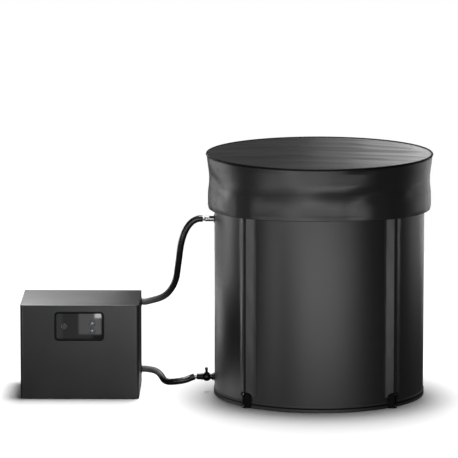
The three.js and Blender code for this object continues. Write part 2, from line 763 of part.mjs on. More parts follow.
// The ball valve near the floor: body, ball with its way across the pipe, and handle with its stem
function valve() {
  const group = wallSeal('valve', valvePipeRadius);
  const bodyFront = -wallRadius - valvePipeReach;
  const bodyBack = bodyFront - valveBodyLength;
  const centre = (bodyFront + bodyBack) / 2;
  const barrelEnd = bodyBack - valveBarrelLength;
  const neckEnd = barrelEnd - valveNeckLength;
  const inner = -linerInner + fittingInnerLength;
  const atPipe = Math.asin(valvePipeRadius / valveBodyRadius);
  const atBarrel = Math.PI - Math.asin(valveBarrelRadius / valveBodyRadius);
  const seat = valveBallRadius + runningGap;
  const atBore = Math.asin(fittingBore / seat);
  const profile = [
    [fittingBore, inner], [valvePipeRadius, inner],
    ...profileArc(valveBodyRadius, centre, atPipe, atBarrel),
    [valveBarrelRadius, barrelEnd], [valveNeckRadius, barrelEnd],
    [valveNeckRadius, neckEnd], [fittingBore, neckEnd],
    ...profileArc(seat, centre, Math.PI - atBore, atBore),
  ];
  const stemWay = rodOf(stemRadius + runningGap, 0, valveBodyRadius + cutOverrun, fittingSides);
  stemWay.translate(centre, 0, 0);
  const body = cut(turned(profile, fittingSides, 'x'), [stemWay]);
  const ball = turned(profileArc(valveBallRadius, 0, 0, Math.PI).map(([r, z], i, all) => (
    i === 0 || i === all.length - 1 ? [0, z] : [r, z]
  )), fittingSides);
  const wayEnd = valveBallRadius + cutOverrun;
  const way = rodOf(valveBallBore, -wayEnd, wayEnd, fittingSides, 'y');
  const ballMesh = named('valve_ball', cut(ball, [way]), 'stainless');
  ballMesh.position.x = centre;
  const hubFloor = valveBodyRadius + seatGap;
  const top = handleTop - valveHeight;
  const stem = rodOf(stemRadius, valveBallRadius + seatGap, hubFloor + handleHubHeight, fittingSides);
  const hub = rodOf(handleHubRadius, hubFloor, hubFloor + handleHubHeight, fittingSides);
  const wing = shapeOf([
    [-handleWaist / 2, hubFloor + handleHubHeight / 2], [handleWaist / 2, hubFloor + handleHubHeight / 2],
    [handleFlare / 2, top], [-handleFlare / 2, top],
  ]);
  const handle = join([hub, stem, faced(wing, -handleLength / 2, handleLength / 2)]);
  const handleMesh = named('valve_handle', handle, 'blackPlastic');
  handleMesh.position.x = centre;
  group.add(named('valve_body', body, 'blackPlastic'), ballMesh, handleMesh);
  group.position.z = valveHeight;
  return group;
}

function hoses() {
  const group = new THREE.Group();
  const radius = hoseDiameter / 2;
  group.add(named('hose_upper', tubeAlong(upperHoseRoute, radius, hoseSides, hoseSteps), 'hoseRubber'));
  group.add(named('hose_lower', tubeAlong(lowerHoseRoute, radius, hoseSides, hoseSteps), 'hoseRubber'));
  return group;
}

// Chiller: places that several of its pieces share, from the middle of its floor plan
const caseRight = chillerWidth / 2;
const caseFront = -chillerDepth / 2;
const caseBack = chillerDepth / 2;
const shellTop = chillerHeight - topThickness - topSeam;
const innerRight = caseRight - sheetThickness;
const innerCorner = caseCornerRadius - sheetThickness;
const panFloor = railHeight + seatGap;
const panTop = panFloor + sheetThickness;
const rearInner = caseBack - sheetThickness;
const worksFloor = panTop + seatGap;

// A plan with round corners at the front and square ones at the back
function casePlan(right, front, back, corner) {
  const shape = new THREE.Shape();
  shape.moveTo(right, back);
  shape.lineTo(-right, back);
  shape.lineTo(-right, front + corner);
  shape.absarc(corner - right, front + corner, corner, Math.PI, Math.PI * 1.5);
  shape.absarc(right - corner, front + corner, corner, Math.PI * 1.5, Math.PI * 2);
  shape.closePath();
  return shape;
}

// The same plan, a sheet's thickness smaller on every side
function insidePlan(right, front, back, corner) {
  const thin = sheetThickness;
  return casePlan(right - thin, front + thin, back - thin, corner - thin);
}

// The window's outline, grown on every side
function windowOutline(growth, radius) {
  const width = windowWidth + 2 * growth;
  const height = windowHeight + 2 * growth;
  return roundedRectangle(width, height, radius, windowCentreX, windowCentreZ);
}

// Front and sides in one bent sheet, with the window, the air vents on the left and the port holes
// on the right
function frontShell() {
  const outside = raised(casePlan(caseRight, caseFront, caseBack, caseCornerRadius), shellFloor, shellTop);
  const inside = raised(
    casePlan(innerRight, caseFront + sheetThickness, caseBack + cutOverrun, innerCorner),
    shellFloor - cutOverrun,
    shellTop + cutOverrun,
  );
  const opening = windowOutline(0, windowCornerRadius);
  const window = faced(opening, caseFront - cutOverrun, caseFront + cutOverrun);
  const vents = Array.from({ length: ventCount }, (_, i) => {
    const low = ventFloor + i * ventPitch;
    return boxBetween(
      [-caseRight - cutOverrun, -ventLength / 2, low],
      [-innerRight + cutOverrun, ventLength / 2, low + ventHeight],
    );
  });
  const portHoles = Object.values(portHeights).map((height) => {
    const holeRadius = portRadius + seatGap;
    const hole = rodOf(holeRadius, innerRight - cutOverrun, caseRight + cutOverrun, fittingSides, 'x');
    hole.translate(0, portSetback, height);
    return hole;
  });
  return cut(outside, [inside, window, ...vents, ...portHoles]);
}

// The top: a flat sheet with a rim that drops inside the shell
function topPanel() {
  const plateFloor = chillerHeight - topThickness;
  const platePlan = casePlan(caseRight, caseFront, caseBack, caseCornerRadius);
  const plate = raised(platePlan, plateFloor, chillerHeight);
  const rimRight = innerRight - seatGap;
  const rimFront = caseFront + sheetThickness + seatGap;
  const rimBack = rearInner - seatGap;
  const rimCorner = innerCorner - seatGap;
  const rimFloor = plateFloor - topRimDepth;
  const rimTop = plateFloor + topThickness / 2;
  const rim = raised(casePlan(rimRight, rimFront, rimBack, rimCorner), rimFloor, rimTop);
  const hollowPlan = insidePlan(rimRight, rimFront, rimBack, rimCorner);
  const hollow = raised(hollowPlan, rimFloor - cutOverrun, plateFloor);
  return cut(join([plate, rim]), [hollow]);
}

// The pan: a flat sheet with a rim that stands up inside the shell
function basePan() {
  const right = innerRight - seatGap;
  const front = caseFront + sheetThickness + seatGap;
  const back = rearInner - seatGap;
  const corner = innerCorner - seatGap;
  const rimTop = panFloor + panRimHeight;
  const block = raised(casePlan(right, front, back, corner), panFloor, rimTop);
  const hollow = raised(insidePlan(right, front, back, corner), panTop, rimTop + cutOverrun);
  return cut(block, [hollow]);
}

// The mains inlet's body, grown on every side, from a front to a back
function inletBlock(growth, front, back) {
  const across = inletWidth / 2 - inletBodyBorder + growth;
  const up = inletHeight / 2 - inletBodyBorder + growth;
  return boxBetween([inletX - across, front, inletZ - up], [inletX + across, back, inletZ + up]);
}

function rearPanel() {
  const right = innerRight - seatGap;
  const plate = boxBetween([-right, rearInner, shellFloor], [right, caseBack, shellTop]);
  const first = condenserX - ((slotCount - 1) * slotPitch) / 2;
  const slots = Array.from({ length: slotCount }, (_, i) => boxBetween(
    [first + i * slotPitch - slotWidth / 2, rearInner - cutOverrun, fanHeight - slotHeight / 2],
    [first + i * slotPitch + slotWidth / 2, caseBack + cutOverrun, fanHeight + slotHeight / 2],
  ));
  return cut(plate, [...slots, inletBlock(seatGap, rearInner - cutOverrun, caseBack + cutOverrun)]);
}

// The mains inlet: a flange outside the rear panel and a body through it, with the socket's hollow
function powerInlet() {
  const mouth = caseBack + seatGap + inletFlangeThickness;
  const plate = roundedRectangle(inletWidth, inletHeight, inletCorner, inletX, inletZ);
  const flange = faced(plate, caseBack + seatGap, mouth);
  const body = inletBlock(0, caseBack - inletBodyDepth, caseBack + inletFlangeThickness);
  const socket = boxBetween(
    [inletX - inletSocketWidth / 2, mouth - inletSocketDepth, inletZ - inletSocketHeight / 2],
    [inletX + inletSocketWidth / 2, mouth + cutOverrun, inletZ + inletSocketHeight / 2],
  );
  return cut(join([flange, body]), [socket]);
}

function chillerCase() {
  const group = new THREE.Group();
  const railEnds = [caseFront + railInsetY, caseBack - railInsetY - railWidth];
  ['foot_rail_front', 'foot_rail_rear'].forEach((name, i) => {
    const rail = boxBetween(
      [railInsetX - caseRight, railEnds[i], 0],
      [caseRight - railInsetX, railEnds[i] + railWidth, railHeight],
    );
    group.add(named(name, rail, 'blackRubber'));
  });
  group.add(named('base_pan', basePan(), 'zincSteel'));
  group.add(named('front_shell', frontShell(), 'casePaint'));
  group.add(named('top_panel', topPanel(), 'casePaint'));
  group.add(named('rear_panel', rearPanel(), 'casePaint'));
  group.add(named('power_inlet', powerInlet(), 'blackPlastic'));
  const portInnerEnd = innerRight - portInnerLength;
  const portSeat = caseRight + seatGap;
  const portFace = portSeat + portFlangeThickness;
  Object.entries(portHeights).forEach(([place, height]) => {
    const port = turned([
      [portBore, portInnerEnd], [portRadius, portInnerEnd], [portRadius, portSeat],
      [portFlangeRadius, portSeat], [portFlangeRadius, portFace], [portBore, portFace],
    ], fittingSides, 'x');
    const mesh = named(`port_${place}`, port, 'blackPlastic');
    mesh.position.set(0, portSetback, height);
    group.add(mesh);
  });
  return group;
}

// Window frame, glass, three buttons that travel back through the glass, and the board with their switches
function controls() {
  const group = new THREE.Group();
  const buttons = [powerButton, upButton, downButton];
  const innerCornerRadius = windowCornerRadius - frameBorder / 2;
  const bezelFront = caseFront + frameRecess;
  const bezelBack = bezelFront + frameDepth;
  const flangeFront = caseFront + sheetThickness + seatGap;
  const bezel = faced(windowOutline(-seatGap, windowCornerRadius - seatGap), bezelFront, bezelBack);
  const flangePlan = windowOutline(frameFlangeReach, windowCornerRadius);
  const flange = faced(flangePlan, flangeFront, flangeFront + frameFlangeThickness);
  const holePlan = windowOutline(-frameBorder, innerCornerRadius);
  const hole = faced(holePlan, bezelFront - cutOverrun, bezelBack + cutOverrun);
  group.add(named('display_frame', cut(join([bezel, flange]), [hole]), 'blackPlastic'));

  const glassFront = caseFront + glassRecess;
  const glassBack = glassFront + glassThickness;
  const glassPlan = windowOutline(-frameBorder - seatGap, innerCornerRadius - seatGap);
  const glass = faced(glassPlan, glassFront, glassBack);
  const buttonHoles = buttons.map(({ radius, x, z }) => {
    const holeRadius = radius + runningGap;
    const buttonHole = rodOf(holeRadius, glassFront - cutOverrun, glassBack + cutOverrun, buttonSides, 'y');
    buttonHole.translate(x, 0, z);
    return buttonHole;
  });
  group.add(named('display_glass', cut(glass, buttonHoles), 'windowGlass'));

  const flangeStart = glassBack + seatGap;
  const flangeEnd = flangeStart + buttonFlangeThickness;
  const boardFront = bezelBack + seatGap;
  buttons.forEach(({ name, radius, x, z }) => {
    const button = named(name, turned([
      [0, glassFront - buttonStand], [radius, glassFront - buttonStand], [radius, flangeStart],
      [radius + buttonFlangeReach, flangeStart], [radius + buttonFlangeReach, flangeEnd], [0, flangeEnd],
    ], buttonSides, 'y'), 'buttonPlastic');
    button.position.set(x, 0, z);
    group.add(button);
  });

  const boardBack = boardFront + boardThickness;
  const boardMiddle = boardFront + boardThickness / 2;
  const board = faced(windowOutline(boardReach, windowCornerRadius), boardFront, boardBack);
  const switches = buttons.map(({ x, z }) => boxBetween(
    [x - switchSize / 2, flangeEnd + buttonTravel + seatGap, z - switchSize / 2],
    [x + switchSize / 2, boardMiddle, z + switchSize / 2],
  ));
  const chip = boxBetween(
    [windowCentreX - chipWidth / 2, boardMiddle, windowCentreZ - chipHeight / 2],
    [windowCentreX + chipWidth / 2, boardBack + chipThickness, windowCentreZ + chipHeight / 2],
  );
  group.add(named('control_board', join([board, ...switches, chip]), 'boardGreen'));
  return group;
}

function compressor() {
  const top = compressorPlateThickness + compressorHeight;
  const shoulder = top - compressorDome;
  const can = turned([
    [0, compressorPlateThickness / 2], [compressorRadius, compressorPlateThickness / 2],
    ...Array.from({ length: compressorDomeSteps }, (_, i) => {
      const angle = (Math.PI * i) / (2 * compressorDomeSteps);
      return [compressorRadius * Math.cos(angle), shoulder + compressorDome * Math.sin(angle)];
    }),
    [0, top],
  ], compressorSides);
  const plate = raised(
    roundedRectangle(compressorPlateSize, compressorPlateSize, compressorPlateCorner),
    0,
    compressorPlateThickness,
  );
  const mesh = named('compressor', join([plate, can]), 'compressorPaint');
  mesh.position.set(compressorX, compressorY, worksFloor);
  return mesh;
}

// A spine with fins on both sides, seen from above as a double comb
function condenser() {
  const pitch = condenserWidth / finCount;
  const left = -condenserWidth / 2;
  const side = (out) => Array.from({ length: finCount }, (_, i) => [
    [left + i * pitch, out], [left + (i + finShare) * pitch, out],
    [left + (i + finShare) * pitch, Math.sign(out) * (finSpine / 2)],
    [left + (i + 1) * pitch, Math.sign(out) * (finSpine / 2)],
  ]).flat();
  const outline = [...side(-condenserDepth / 2), ...side(condenserDepth / 2).reverse()];
  const block = raised(shapeOf(outline), worksFloor, worksFloor + condenserHeight);
  const mesh = named('condenser', block, 'finAluminium');
  mesh.position.set(condenserX, condenserY, 0);
  return mesh;
}

// The fan's motor hangs on two crossed arms on the rear panel, and the fan turns on its shaft
function fanSet() {
  const group = new THREE.Group();
  const armBack = rearInner - seatGap;
  const armFront = armBack - fanArmThickness;
  const motorFront = armFront - fanMotorLength;
  const shaftEnd = motorFront - fanShaftLength;
  const reach = slotHeight / 2 + fanArmWidth;
  const arms = [
    boxBetween([-reach, armFront, -fanArmWidth / 2], [reach, armBack, fanArmWidth / 2]),
    boxBetween([-fanArmWidth / 2, armFront, -reach], [fanArmWidth / 2, armBack, reach]),
  ];
  const can = rodOf(fanMotorRadius, motorFront, armFront + fanArmThickness / 2, rotorSides, 'y');
  const shaft = rodOf(fanShaftRadius, shaftEnd, motorFront + seatGap, fittingSides, 'y');
  const hubBack = motorFront - seatGap;
  const hubFront = hubBack - fanHubLength;
  const hub = ringOf(fanShaftRadius + runningGap, fanHubRadius, hubFront, hubBack, rotorSides, 'y');
  const pitch = THREE.MathUtils.degToRad(fanBladePitch);
  const chord = (fanHubLength - 2 * fanBladeThickness) / Math.sin(pitch);
  const span = fanRadius - fanHubRadius + fanBladeThickness;
  const blades = Array.from({ length: fanBladeCount }, (_, i) => {
    const blade = new THREE.BoxGeometry(chord, fanBladeThickness, span);
    blade.rotateZ(pitch);
    blade.translate(0, (hubFront + hubBack) / 2, (fanRadius + fanHubRadius) / 2 - fanBladeThickness);
    blade.rotateY((2 * Math.PI * i) / fanBladeCount);
    return blade;
  });
  group.add(named('fan_motor', join([...arms, can, shaft]), 'blackPlastic'));
  group.add(named('fan', join([hub, ...blades]), 'blackPlastic'));
  group.position.set(condenserX, 0, fanHeight);
  return group;
}

// A stack of brazed plates, grooved between them, with a stub for each water line
function heatExchanger() {
  const pitch = exchangerDepth / exchangerPlates;
  const half = exchangerWidth / 2;
  const edge = (sign) => Array.from({ length: exchangerPlates }, (_, i) => {
    const low = -exchangerDepth / 2 + i * pitch;
    return [
      [sign * half, low], [sign * half, low + pitch / 2],
      [sign * (half - exchangerGroove), low + pitch / 2], [sign * (half - exchangerGroove), low + pitch],
    ];
  }).flat();
  const stack = raised(shapeOf([...edge(1), ...edge(-1).reverse()]), 0, exchangerHeight);
  const inStubStart = half - exchangerGroove - cutOverrun;
  const inStub = rodOf(lineRadius, inStubStart, half + lineStubLength, fittingSides, 'x');
  inStub.translate(0, 0, exchangerPortHeight);
  const outStubTop = exchangerHeight + lineStubLength;
  const outStub = rodOf(lineRadius, exchangerHeight - cutOverrun, outStubTop, fittingSides);
  const mesh = named('heat_exchanger', join([stack, inStub, outStub]), 'brazedSteel');
  mesh.position.set(exchangerX, exchangerY, worksFloor);
  return mesh;
}

// The circulation pump lies along X with its inlet facing the lower port, and its impeller turns on a
// fixed spindle
function pump() {
  const group = new THREE.Group();
  const inletEnd = innerRight - portInnerLength - seatGap - pumpX;
  const voluteFront = pumpVoluteLength / 2;
  const voluteBack = -pumpVoluteLength / 2;
  const chamberBack = voluteBack + pumpWall;
  const chamberFront = voluteFront - pumpWall;
  const chamber = pumpVoluteRadius - pumpWall;
  const spindleEnd = chamberFront - seatGap;
  const motorEnd = voluteBack - pumpMotorLength;
  const housing = turned([
    [0, motorEnd], [pumpMotorRadius, motorEnd], [pumpMotorRadius, voluteBack],
    [pumpVoluteRadius, voluteBack], [pumpVoluteRadius, voluteFront], [pumpInletRadius, voluteFront],
    [pumpInletRadius, inletEnd], [portBore, inletEnd], [portBore, chamberFront], [chamber, chamberFront],
    [chamber, chamberBack], [spindleRadius, chamberBack], [spindleRadius, spindleEnd], [0, spindleEnd],
  ], rotorSides, 'x');
  const axisHeight = portHeights.lower - worksFloor;
  const foot = boxBetween(
    [motorEnd + pumpFootOverlap, -pumpFootWidth / 2, -axisHeight],
    [voluteBack, pumpFootWidth / 2, pumpFootOverlap - pumpMotorRadius],
  );
  const outletTop = pumpVoluteRadius + pumpOutletHeight;
  const outlet = rodOf(pumpInletRadius, pumpVoluteRadius - pumpOutletSetback, outletTop, fittingSides);
  const outletWay = rodOf(portBore, chamber - pumpOutletSetback, outletTop + cutOverrun, fittingSides);
  const hollow = rodOf(chamber, chamberBack, chamberFront, rotorSides, 'x');
  const spout = cut(outlet, [hollow]);
  const body = cut(join([housing, foot, spout]), [outletWay]);
  const discBack = chamberBack + seatGap;
  const discFront = discBack + impellerDisc;
  const vaneFront = discFront + impellerVaneHeight;
  const halfVane = impellerVaneThickness / 2;
  const disc = rodOf(impellerRadius, discBack, discFront, rotorSides, 'x');
  const hub = rodOf(impellerHubRadius, discBack, vaneFront, rotorSides, 'x');
  const vanes = Array.from({ length: impellerVanes }, (_, i) => {
    const vane = boxBetween(
      [discFront - impellerDisc / 2, -halfVane, impellerHubRadius / 2],
      [vaneFront, halfVane, impellerRadius - halfVane],
    );
    vane.rotateX((2 * Math.PI * i) / impellerVanes);
    return vane;
  });
  const boreRadius = spindleRadius + runningGap;
  const bore = rodOf(boreRadius, discBack - cutOverrun, vaneFront + cutOverrun, fittingSides, 'x');
  group.add(named('pump_body', body, 'blackPlastic'));
  group.add(named('pump_impeller', cut(join([disc, hub, ...vanes]), [bore]), 'blackPlastic'));
  group.position.set(pumpX, portSetback, portHeights.lower);
  return group;
}

// Two lines of soft tube: pump to heat exchanger, and heat exchanger to the upper port
function waterLines() {
  const group = new THREE.Group();
  const pumpOutlet = [pumpX, portSetback, portHeights.lower + pumpVoluteRadius + pumpOutletHeight + seatGap];
  const exchangerIn = [
    exchangerX + exchangerWidth / 2 + lineStubLength + seatGap,
    exchangerY,
    worksFloor + exchangerPortHeight,
  ];
  const exchangerOut = [exchangerX, exchangerY, worksFloor + exchangerHeight + lineStubLength + seatGap];
  const portIn = [innerRight - portInnerLength - seatGap, portSetback, portHeights.upper];
  const pumpRise = exchangerIn[2] - pumpOutlet[2];
  const outRise = portIn[2] - exchangerOut[2];
  const between = (from, to, shares) => from.map((value, i) => value + (to[i] - value) * shares[i]);
  const pumpRoute = [
    pumpOutlet,
    [pumpOutlet[0], pumpOutlet[1], pumpOutlet[2] + pumpRise / 2],
    ...pumpLineShares.map((shares) => between(pumpOutlet, exchangerIn, shares)),
    [exchangerIn[0] + lineStubLength, exchangerIn[1], exchangerIn[2]],
    exchangerIn,
  ];
  const returnRoute = [
    exchangerOut,
    [exchangerOut[0], exchangerOut[1], exchangerOut[2] + outRise / 2],
    ...returnLineShares.map((shares) => between(exchangerOut, portIn, shares)),
    [portIn[0] - lineStubLength, portIn[1], portIn[2]],
    portIn,
  ];
  group.add(named('pump_line', tubeAlong(pumpRoute, lineRadius, lineSides, lineSteps), 'hoseRubber'));
  group.add(named('return_line', tubeAlong(returnRoute, lineRadius, lineSides, lineSteps), 'hoseRubber'));
  return group;
}

// The chiller stands beside the tub
function chiller() {
  const group = new THREE.Group();
  group.add(chillerCase(), controls(), compressor(), condenser());
  group.add(fanSet(), heatExchanger(), pump(), waterLines());
  group.position.set(-wallRadius - chillerStandoff - chillerWidth / 2, chillerSetback, 0);
  return group;
}

const iceBath = new THREE.Group();
iceBath.add(tubBody(), airRing(), poles(), lid(), returnFitting(), valve(), hoses(), chiller());

export default iceBath;
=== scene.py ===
import math

import bmesh
import bpy
import numpy as np
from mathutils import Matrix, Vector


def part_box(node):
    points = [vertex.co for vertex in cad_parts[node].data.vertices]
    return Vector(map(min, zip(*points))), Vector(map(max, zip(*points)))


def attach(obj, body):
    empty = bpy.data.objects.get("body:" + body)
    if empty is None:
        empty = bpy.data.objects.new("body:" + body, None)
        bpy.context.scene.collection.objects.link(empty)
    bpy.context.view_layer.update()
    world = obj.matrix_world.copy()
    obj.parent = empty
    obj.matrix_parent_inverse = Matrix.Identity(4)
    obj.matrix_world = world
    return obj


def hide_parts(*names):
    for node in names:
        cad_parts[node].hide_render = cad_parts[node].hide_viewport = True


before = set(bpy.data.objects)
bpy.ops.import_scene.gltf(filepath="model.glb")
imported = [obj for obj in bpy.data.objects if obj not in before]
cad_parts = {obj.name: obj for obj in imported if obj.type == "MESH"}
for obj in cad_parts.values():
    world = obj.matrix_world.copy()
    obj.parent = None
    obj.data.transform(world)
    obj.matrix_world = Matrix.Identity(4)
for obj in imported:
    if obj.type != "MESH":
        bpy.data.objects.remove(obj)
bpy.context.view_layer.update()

# A padded fabric ice bath with a lid, two hoses and a box chiller, in metres.
# +Z is up, the front is -Y, and angles round the tub are counted from the front to the right.

tubBody = "tub_and_chiller"
turn = 2.0 * math.pi
quarter = math.pi / 2.0
seatGap = 0.0003          # the clearance that the solids keep from each other
tinyGap = 0.00005         # how far flat trim stands off what it lies on


def span(node, axis):
    # The lowest and the highest place of a solid along an axis: 0 is x, 1 is y and 2 is z
    lowest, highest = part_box(node)
    return float(lowest[axis]), float(highest[axis])


def halfSize(node, axis):
    # (the highest place less the lowest) / 2
    lowest, highest = span(node, axis)
    return (highest - lowest) / 2.0


def middle(node):
    # Half the sum of the two corners of the solid's box
    return np.sum(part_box(node), axis=0) / 2.0


# Camera
cameraSet = {"distance": 15.019, "pitch": 9.372, "yaw": 0.601, "target": (-0.3227, 0.0, 0.5929),
             "lens": 330.1, "sensor": 36.0, "farthest": 80.0}


def placeCamera():
    # Stands back from the target along the line of sight
    pitch, yaw = math.radians(cameraSet["pitch"]), math.radians(cameraSet["yaw"])
    sight = np.array([-math.sin(yaw) * math.cos(pitch), math.cos(yaw) * math.cos(pitch), -math.sin(pitch)])
    data = bpy.data.cameras.new("camera")
    data.lens = cameraSet["lens"]
    data.sensor_width = cameraSet["sensor"]
    data.clip_end = cameraSet["farthest"]
    camera = bpy.data.objects.new("camera", data)
    camera.location = np.array(cameraSet["target"]) - cameraSet["distance"] * sight
    camera.rotation_euler = (quarter - pitch, 0.0, yaw)
    bpy.context.collection.objects.link(camera)
    bpy.context.scene.camera = camera


placeCamera()
print("camera placed")


# Shader tools: a node's inputs are values or the outputs of other nodes

def setInputs(tree, node, inputs):
    # Sets each input, by name or place, to a value, or links it to an output
    for slot, value in inputs.items():
        if isinstance(value, bpy.types.NodeSocket):
            tree.links.new(value, node.inputs[slot])
        else:
            node.inputs[slot].default_value = value


def addNode(tree, kind, inputs, **settings):
    # A shader node with its settings and inputs: gives back its outputs
    node = tree.nodes.new("ShaderNode" + kind)
    for name, value in settings.items():
        setattr(node, name, value)
    setInputs(tree, node, inputs)
    return node.outputs


def product(tree, first, second):
    # The first value times the second
    return addNode(tree, "Math", {0: first, 1: second}, operation="MULTIPLY")[0]


def spread(tree, value, lowest, highest):
    # Maps 0..1 onto lowest..highest
    return addNode(tree, "MapRange", {"Value": value, "To Min": lowest, "To Max": highest})["Result"]


def noise(tree, vector, scale, detail):
    # Soft noise between 0 and 1: the scale is in waves to a metre
    return addNode(tree, "TexNoise", {"Scale": scale, "Detail": detail, "Vector": vector})["Fac"]


def stretched(tree, vector, scales):
    # The vector times a scale for each axis
    return addNode(tree, "Mapping", {"Scale": scales, "Vector": vector})["Vector"]


def ownPlace(tree):
    # Where a point lies in its piece, in metres
    return addNode(tree, "TexCoord", {})["Object"]


def ownMask(tree, name):
    # The value that the piece stores under this name: 0 where it stores none
    return addNode(tree, "Attribute", {}, attribute_name=name)["Fac"]


def newGroup(name, inputs, outputs):
    # An empty group. Each input is a number with its first value, or a vector where that is None.
    group = bpy.data.node_groups.new(name, "ShaderNodeTree")
    for label, value in inputs.items():
        kind = "NodeSocketVector" if value is None else "NodeSocketFloat"
        socket = group.interface.new_socket(name=label, in_out="INPUT", socket_type=kind)
        if value is not None:
            socket.default_value = value
    for label in outputs:
        group.interface.new_socket(name=label, in_out="OUTPUT", socket_type="NodeSocketFloat")
    return group, group.nodes.new("NodeGroupInput").outputs, group.nodes.new("NodeGroupOutput")


grainSet = {"slub": (4.0, 140.0, 1.0), "slubNoise": (1.0, 3.0), "grainDetail": 3.0, "drift": (7.0, 4.0),
            "wear": (60.0, 4.0), "leastWear": 0.2, "patches": (5.0, 3.0), "specks": (260.0, 2.0)}


def weaveGroup():
    # Over-and-under threads: a sine ridge along one thread, swapped with the other by a checker
    group, ins, outs = newGroup("wovenThreads", {"Cloth": None, "Threads": 900.0}, ("Height", "Tone"))
    scaled = addNode(group, "VectorMath", {0: ins["Cloth"], "Scale": ins["Threads"]}, operation="SCALE")[0]
    split = addNode(group, "SeparateXYZ", {0: scaled})
    ridges = []
    for axis in "XY":
        wave = addNode(group, "Math", {0: product(group, split[axis], math.pi)}, operation="SINE")[0]
        ridges.append(addNode(group, "Math", {0: wave}, operation="ABSOLUTE")[0])
    checker = addNode(group, "TexChecker", {"Scale": 1.0, "Vector": scaled})["Fac"]
    height = addNode(group, "Mix", {"Factor": checker, 2: ridges[0], 3: ridges[1]})[0]
    slub = noise(group, stretched(group, ins["Cloth"], grainSet["slub"]), *grainSet["slubNoise"])
    setInputs(group, outs, {"Height": height, "Tone": slub})
    return group


def grainGroup():
    # Fine moulded or sprayed texture, with a slow drift of tone over it
    group, ins, outs = newGroup("fineGrain", {"Size": 900.0}, ("Height", "Drift"))
    place = ownPlace(group)
    setInputs(group, outs, {"Height": noise(group, place, ins["Size"], grainSet["grainDetail"]),
                            "Drift": noise(group, place, *grainSet["drift"])})
    return group


def touchGroup():
    # Wear where edges are handled: the piece's own edge mask, broken up by noise
    group, ins, outs = newGroup("edgeTouch", {"Amount": 0.5}, ("Mask",))
    edge = ownMask(group, "edgeWear")
    breaks = spread(group, noise(group, ownPlace(group), *grainSet["wear"]), grainSet["leastWear"], 1.0)
    setInputs(group, outs, {"Mask": product(group, product(group, edge, breaks), ins["Amount"])})
    return group


def dustGroup():
    # A little dust: soft patches of fine specks, mostly on faces that look up
    group, ins, outs = newGroup("settledDust", {"Amount": 0.1}, ("Mask",))
    place = ownPlace(group)
    facing = addNode(group, "SeparateXYZ", {0: addNode(group, "NewGeometry", {})["Normal"]})["Z"]
    upward = addNode(group, "Math", {0: facing, 1: 0.0}, operation="MAXIMUM")[0]
    specks = product(group, noise(group, place, *grainSet["patches"]),
                     noise(group, place, *grainSet["specks"]))
    setInputs(group, outs, {"Mask": product(group, product(group, upward, specks), ins["Amount"])})
    return group


weaveShader, grainShader, touchShader, dustShader = weaveGroup(), grainGroup(), touchGroup(), dustGroup()


def newFinish(name, roughness, metallic=0.0, specular=0.5, coat=0.0):
    # A finish with its even values set
    material = bpy.data.materials.new(name)
    material.use_nodes = True
    tree = material.node_tree
    setInputs(tree, tree.nodes["Principled BSDF"],
              {"Roughness": roughness, "Metallic": metallic, "Specular IOR Level": specular,
               "Coat Weight": coat, "Coat Roughness": 0.1})
    return material, tree


def finished(material, colour, roughness=None, height=None, depth=0.0, strength=1.0):
    # Links what changes over the surface: its colour, its roughness, and a bump of height times depth
    tree = material.node_tree
    inputs = {"Base Color": colour, "Roughness": roughness}
    if depth:
        bump = {"Strength": strength, "Distance": depth, "Height": height}
        inputs["Normal"] = addNode(tree, "Bump", bump)["Normal"]
    links = {name: value for name, value in inputs.items() if value is not None}
    setInputs(tree, tree.nodes["Principled BSDF"], links)
    return material


def shade(colour, factor):
    # The colour times the factor, 1 at the most
    return (*(min(1.0, part * factor) for part in colour), 1.0)


def tinted(tree, colour, other, factor):
    # Blends two colours by a mask
    return addNode(tree, "Mix", {"Factor": factor, 6: colour, 7: other}, data_type="RGBA")[2]


def toned(tree, colour, shares, factor):
    # The colour times a share that a mask leads from the first share to the second
    return tinted(tree, shade(colour, shares[0]), shade(colour, shares[1]), factor)


def masked(tree, group, amount):
    # The mask of wear or dust, at this amount
    return addNode(tree, "Group", {"Amount": amount}, node_tree=group)["Mask"]


def grained(tree, size):
    # The grain's outputs: its height and its drift
    return addNode(tree, "Group", {"Size": size}, node_tree=grainShader)


# What the finishes of a kind share. Tones are shares of the finish's own colour.
clothLook = {"tones": (0.8, 1.25), "seamTone": 0.12, "dustColour": (0.32, 0.32, 0.33, 1.0), "smoother": 0.05,
             "rougher": 0.06, "bump": 0.6, "paintedStreaks": (2.6, 17.0, 1.0), "streakNoise": (1.0, 3.0),
             "streakSpread": (-0.6, 1.6)}
mouldLook = {"tones": (0.85, 1.2), "wornTone": 3.0, "dustColour": (0.3, 0.3, 0.31, 1.0), "bump": 0.5}
hoseLook = {"grain": 700.0, "paleRunRoughness": 0.6, "depth": 0.00004}
metalLook = {"tones": (0.88, 1.06), "wornTone": 1.15, "lines": (60.0, 4.0), "grain": 200.0, "smoother": 0.7,
             "rougher": 1.4, "bump": 0.4}
foamLook = {"roughness": 0.9, "specular": 0.2, "cells": 500.0, "tones": (0.75, 1.0), "depth": 0.0002,
            "bump": 0.6}
glowLook = {"roughness": 0.35, "grain": 600.0, "lightTones": (0.7, 1.0), "tones": (0.8, 1.0)}


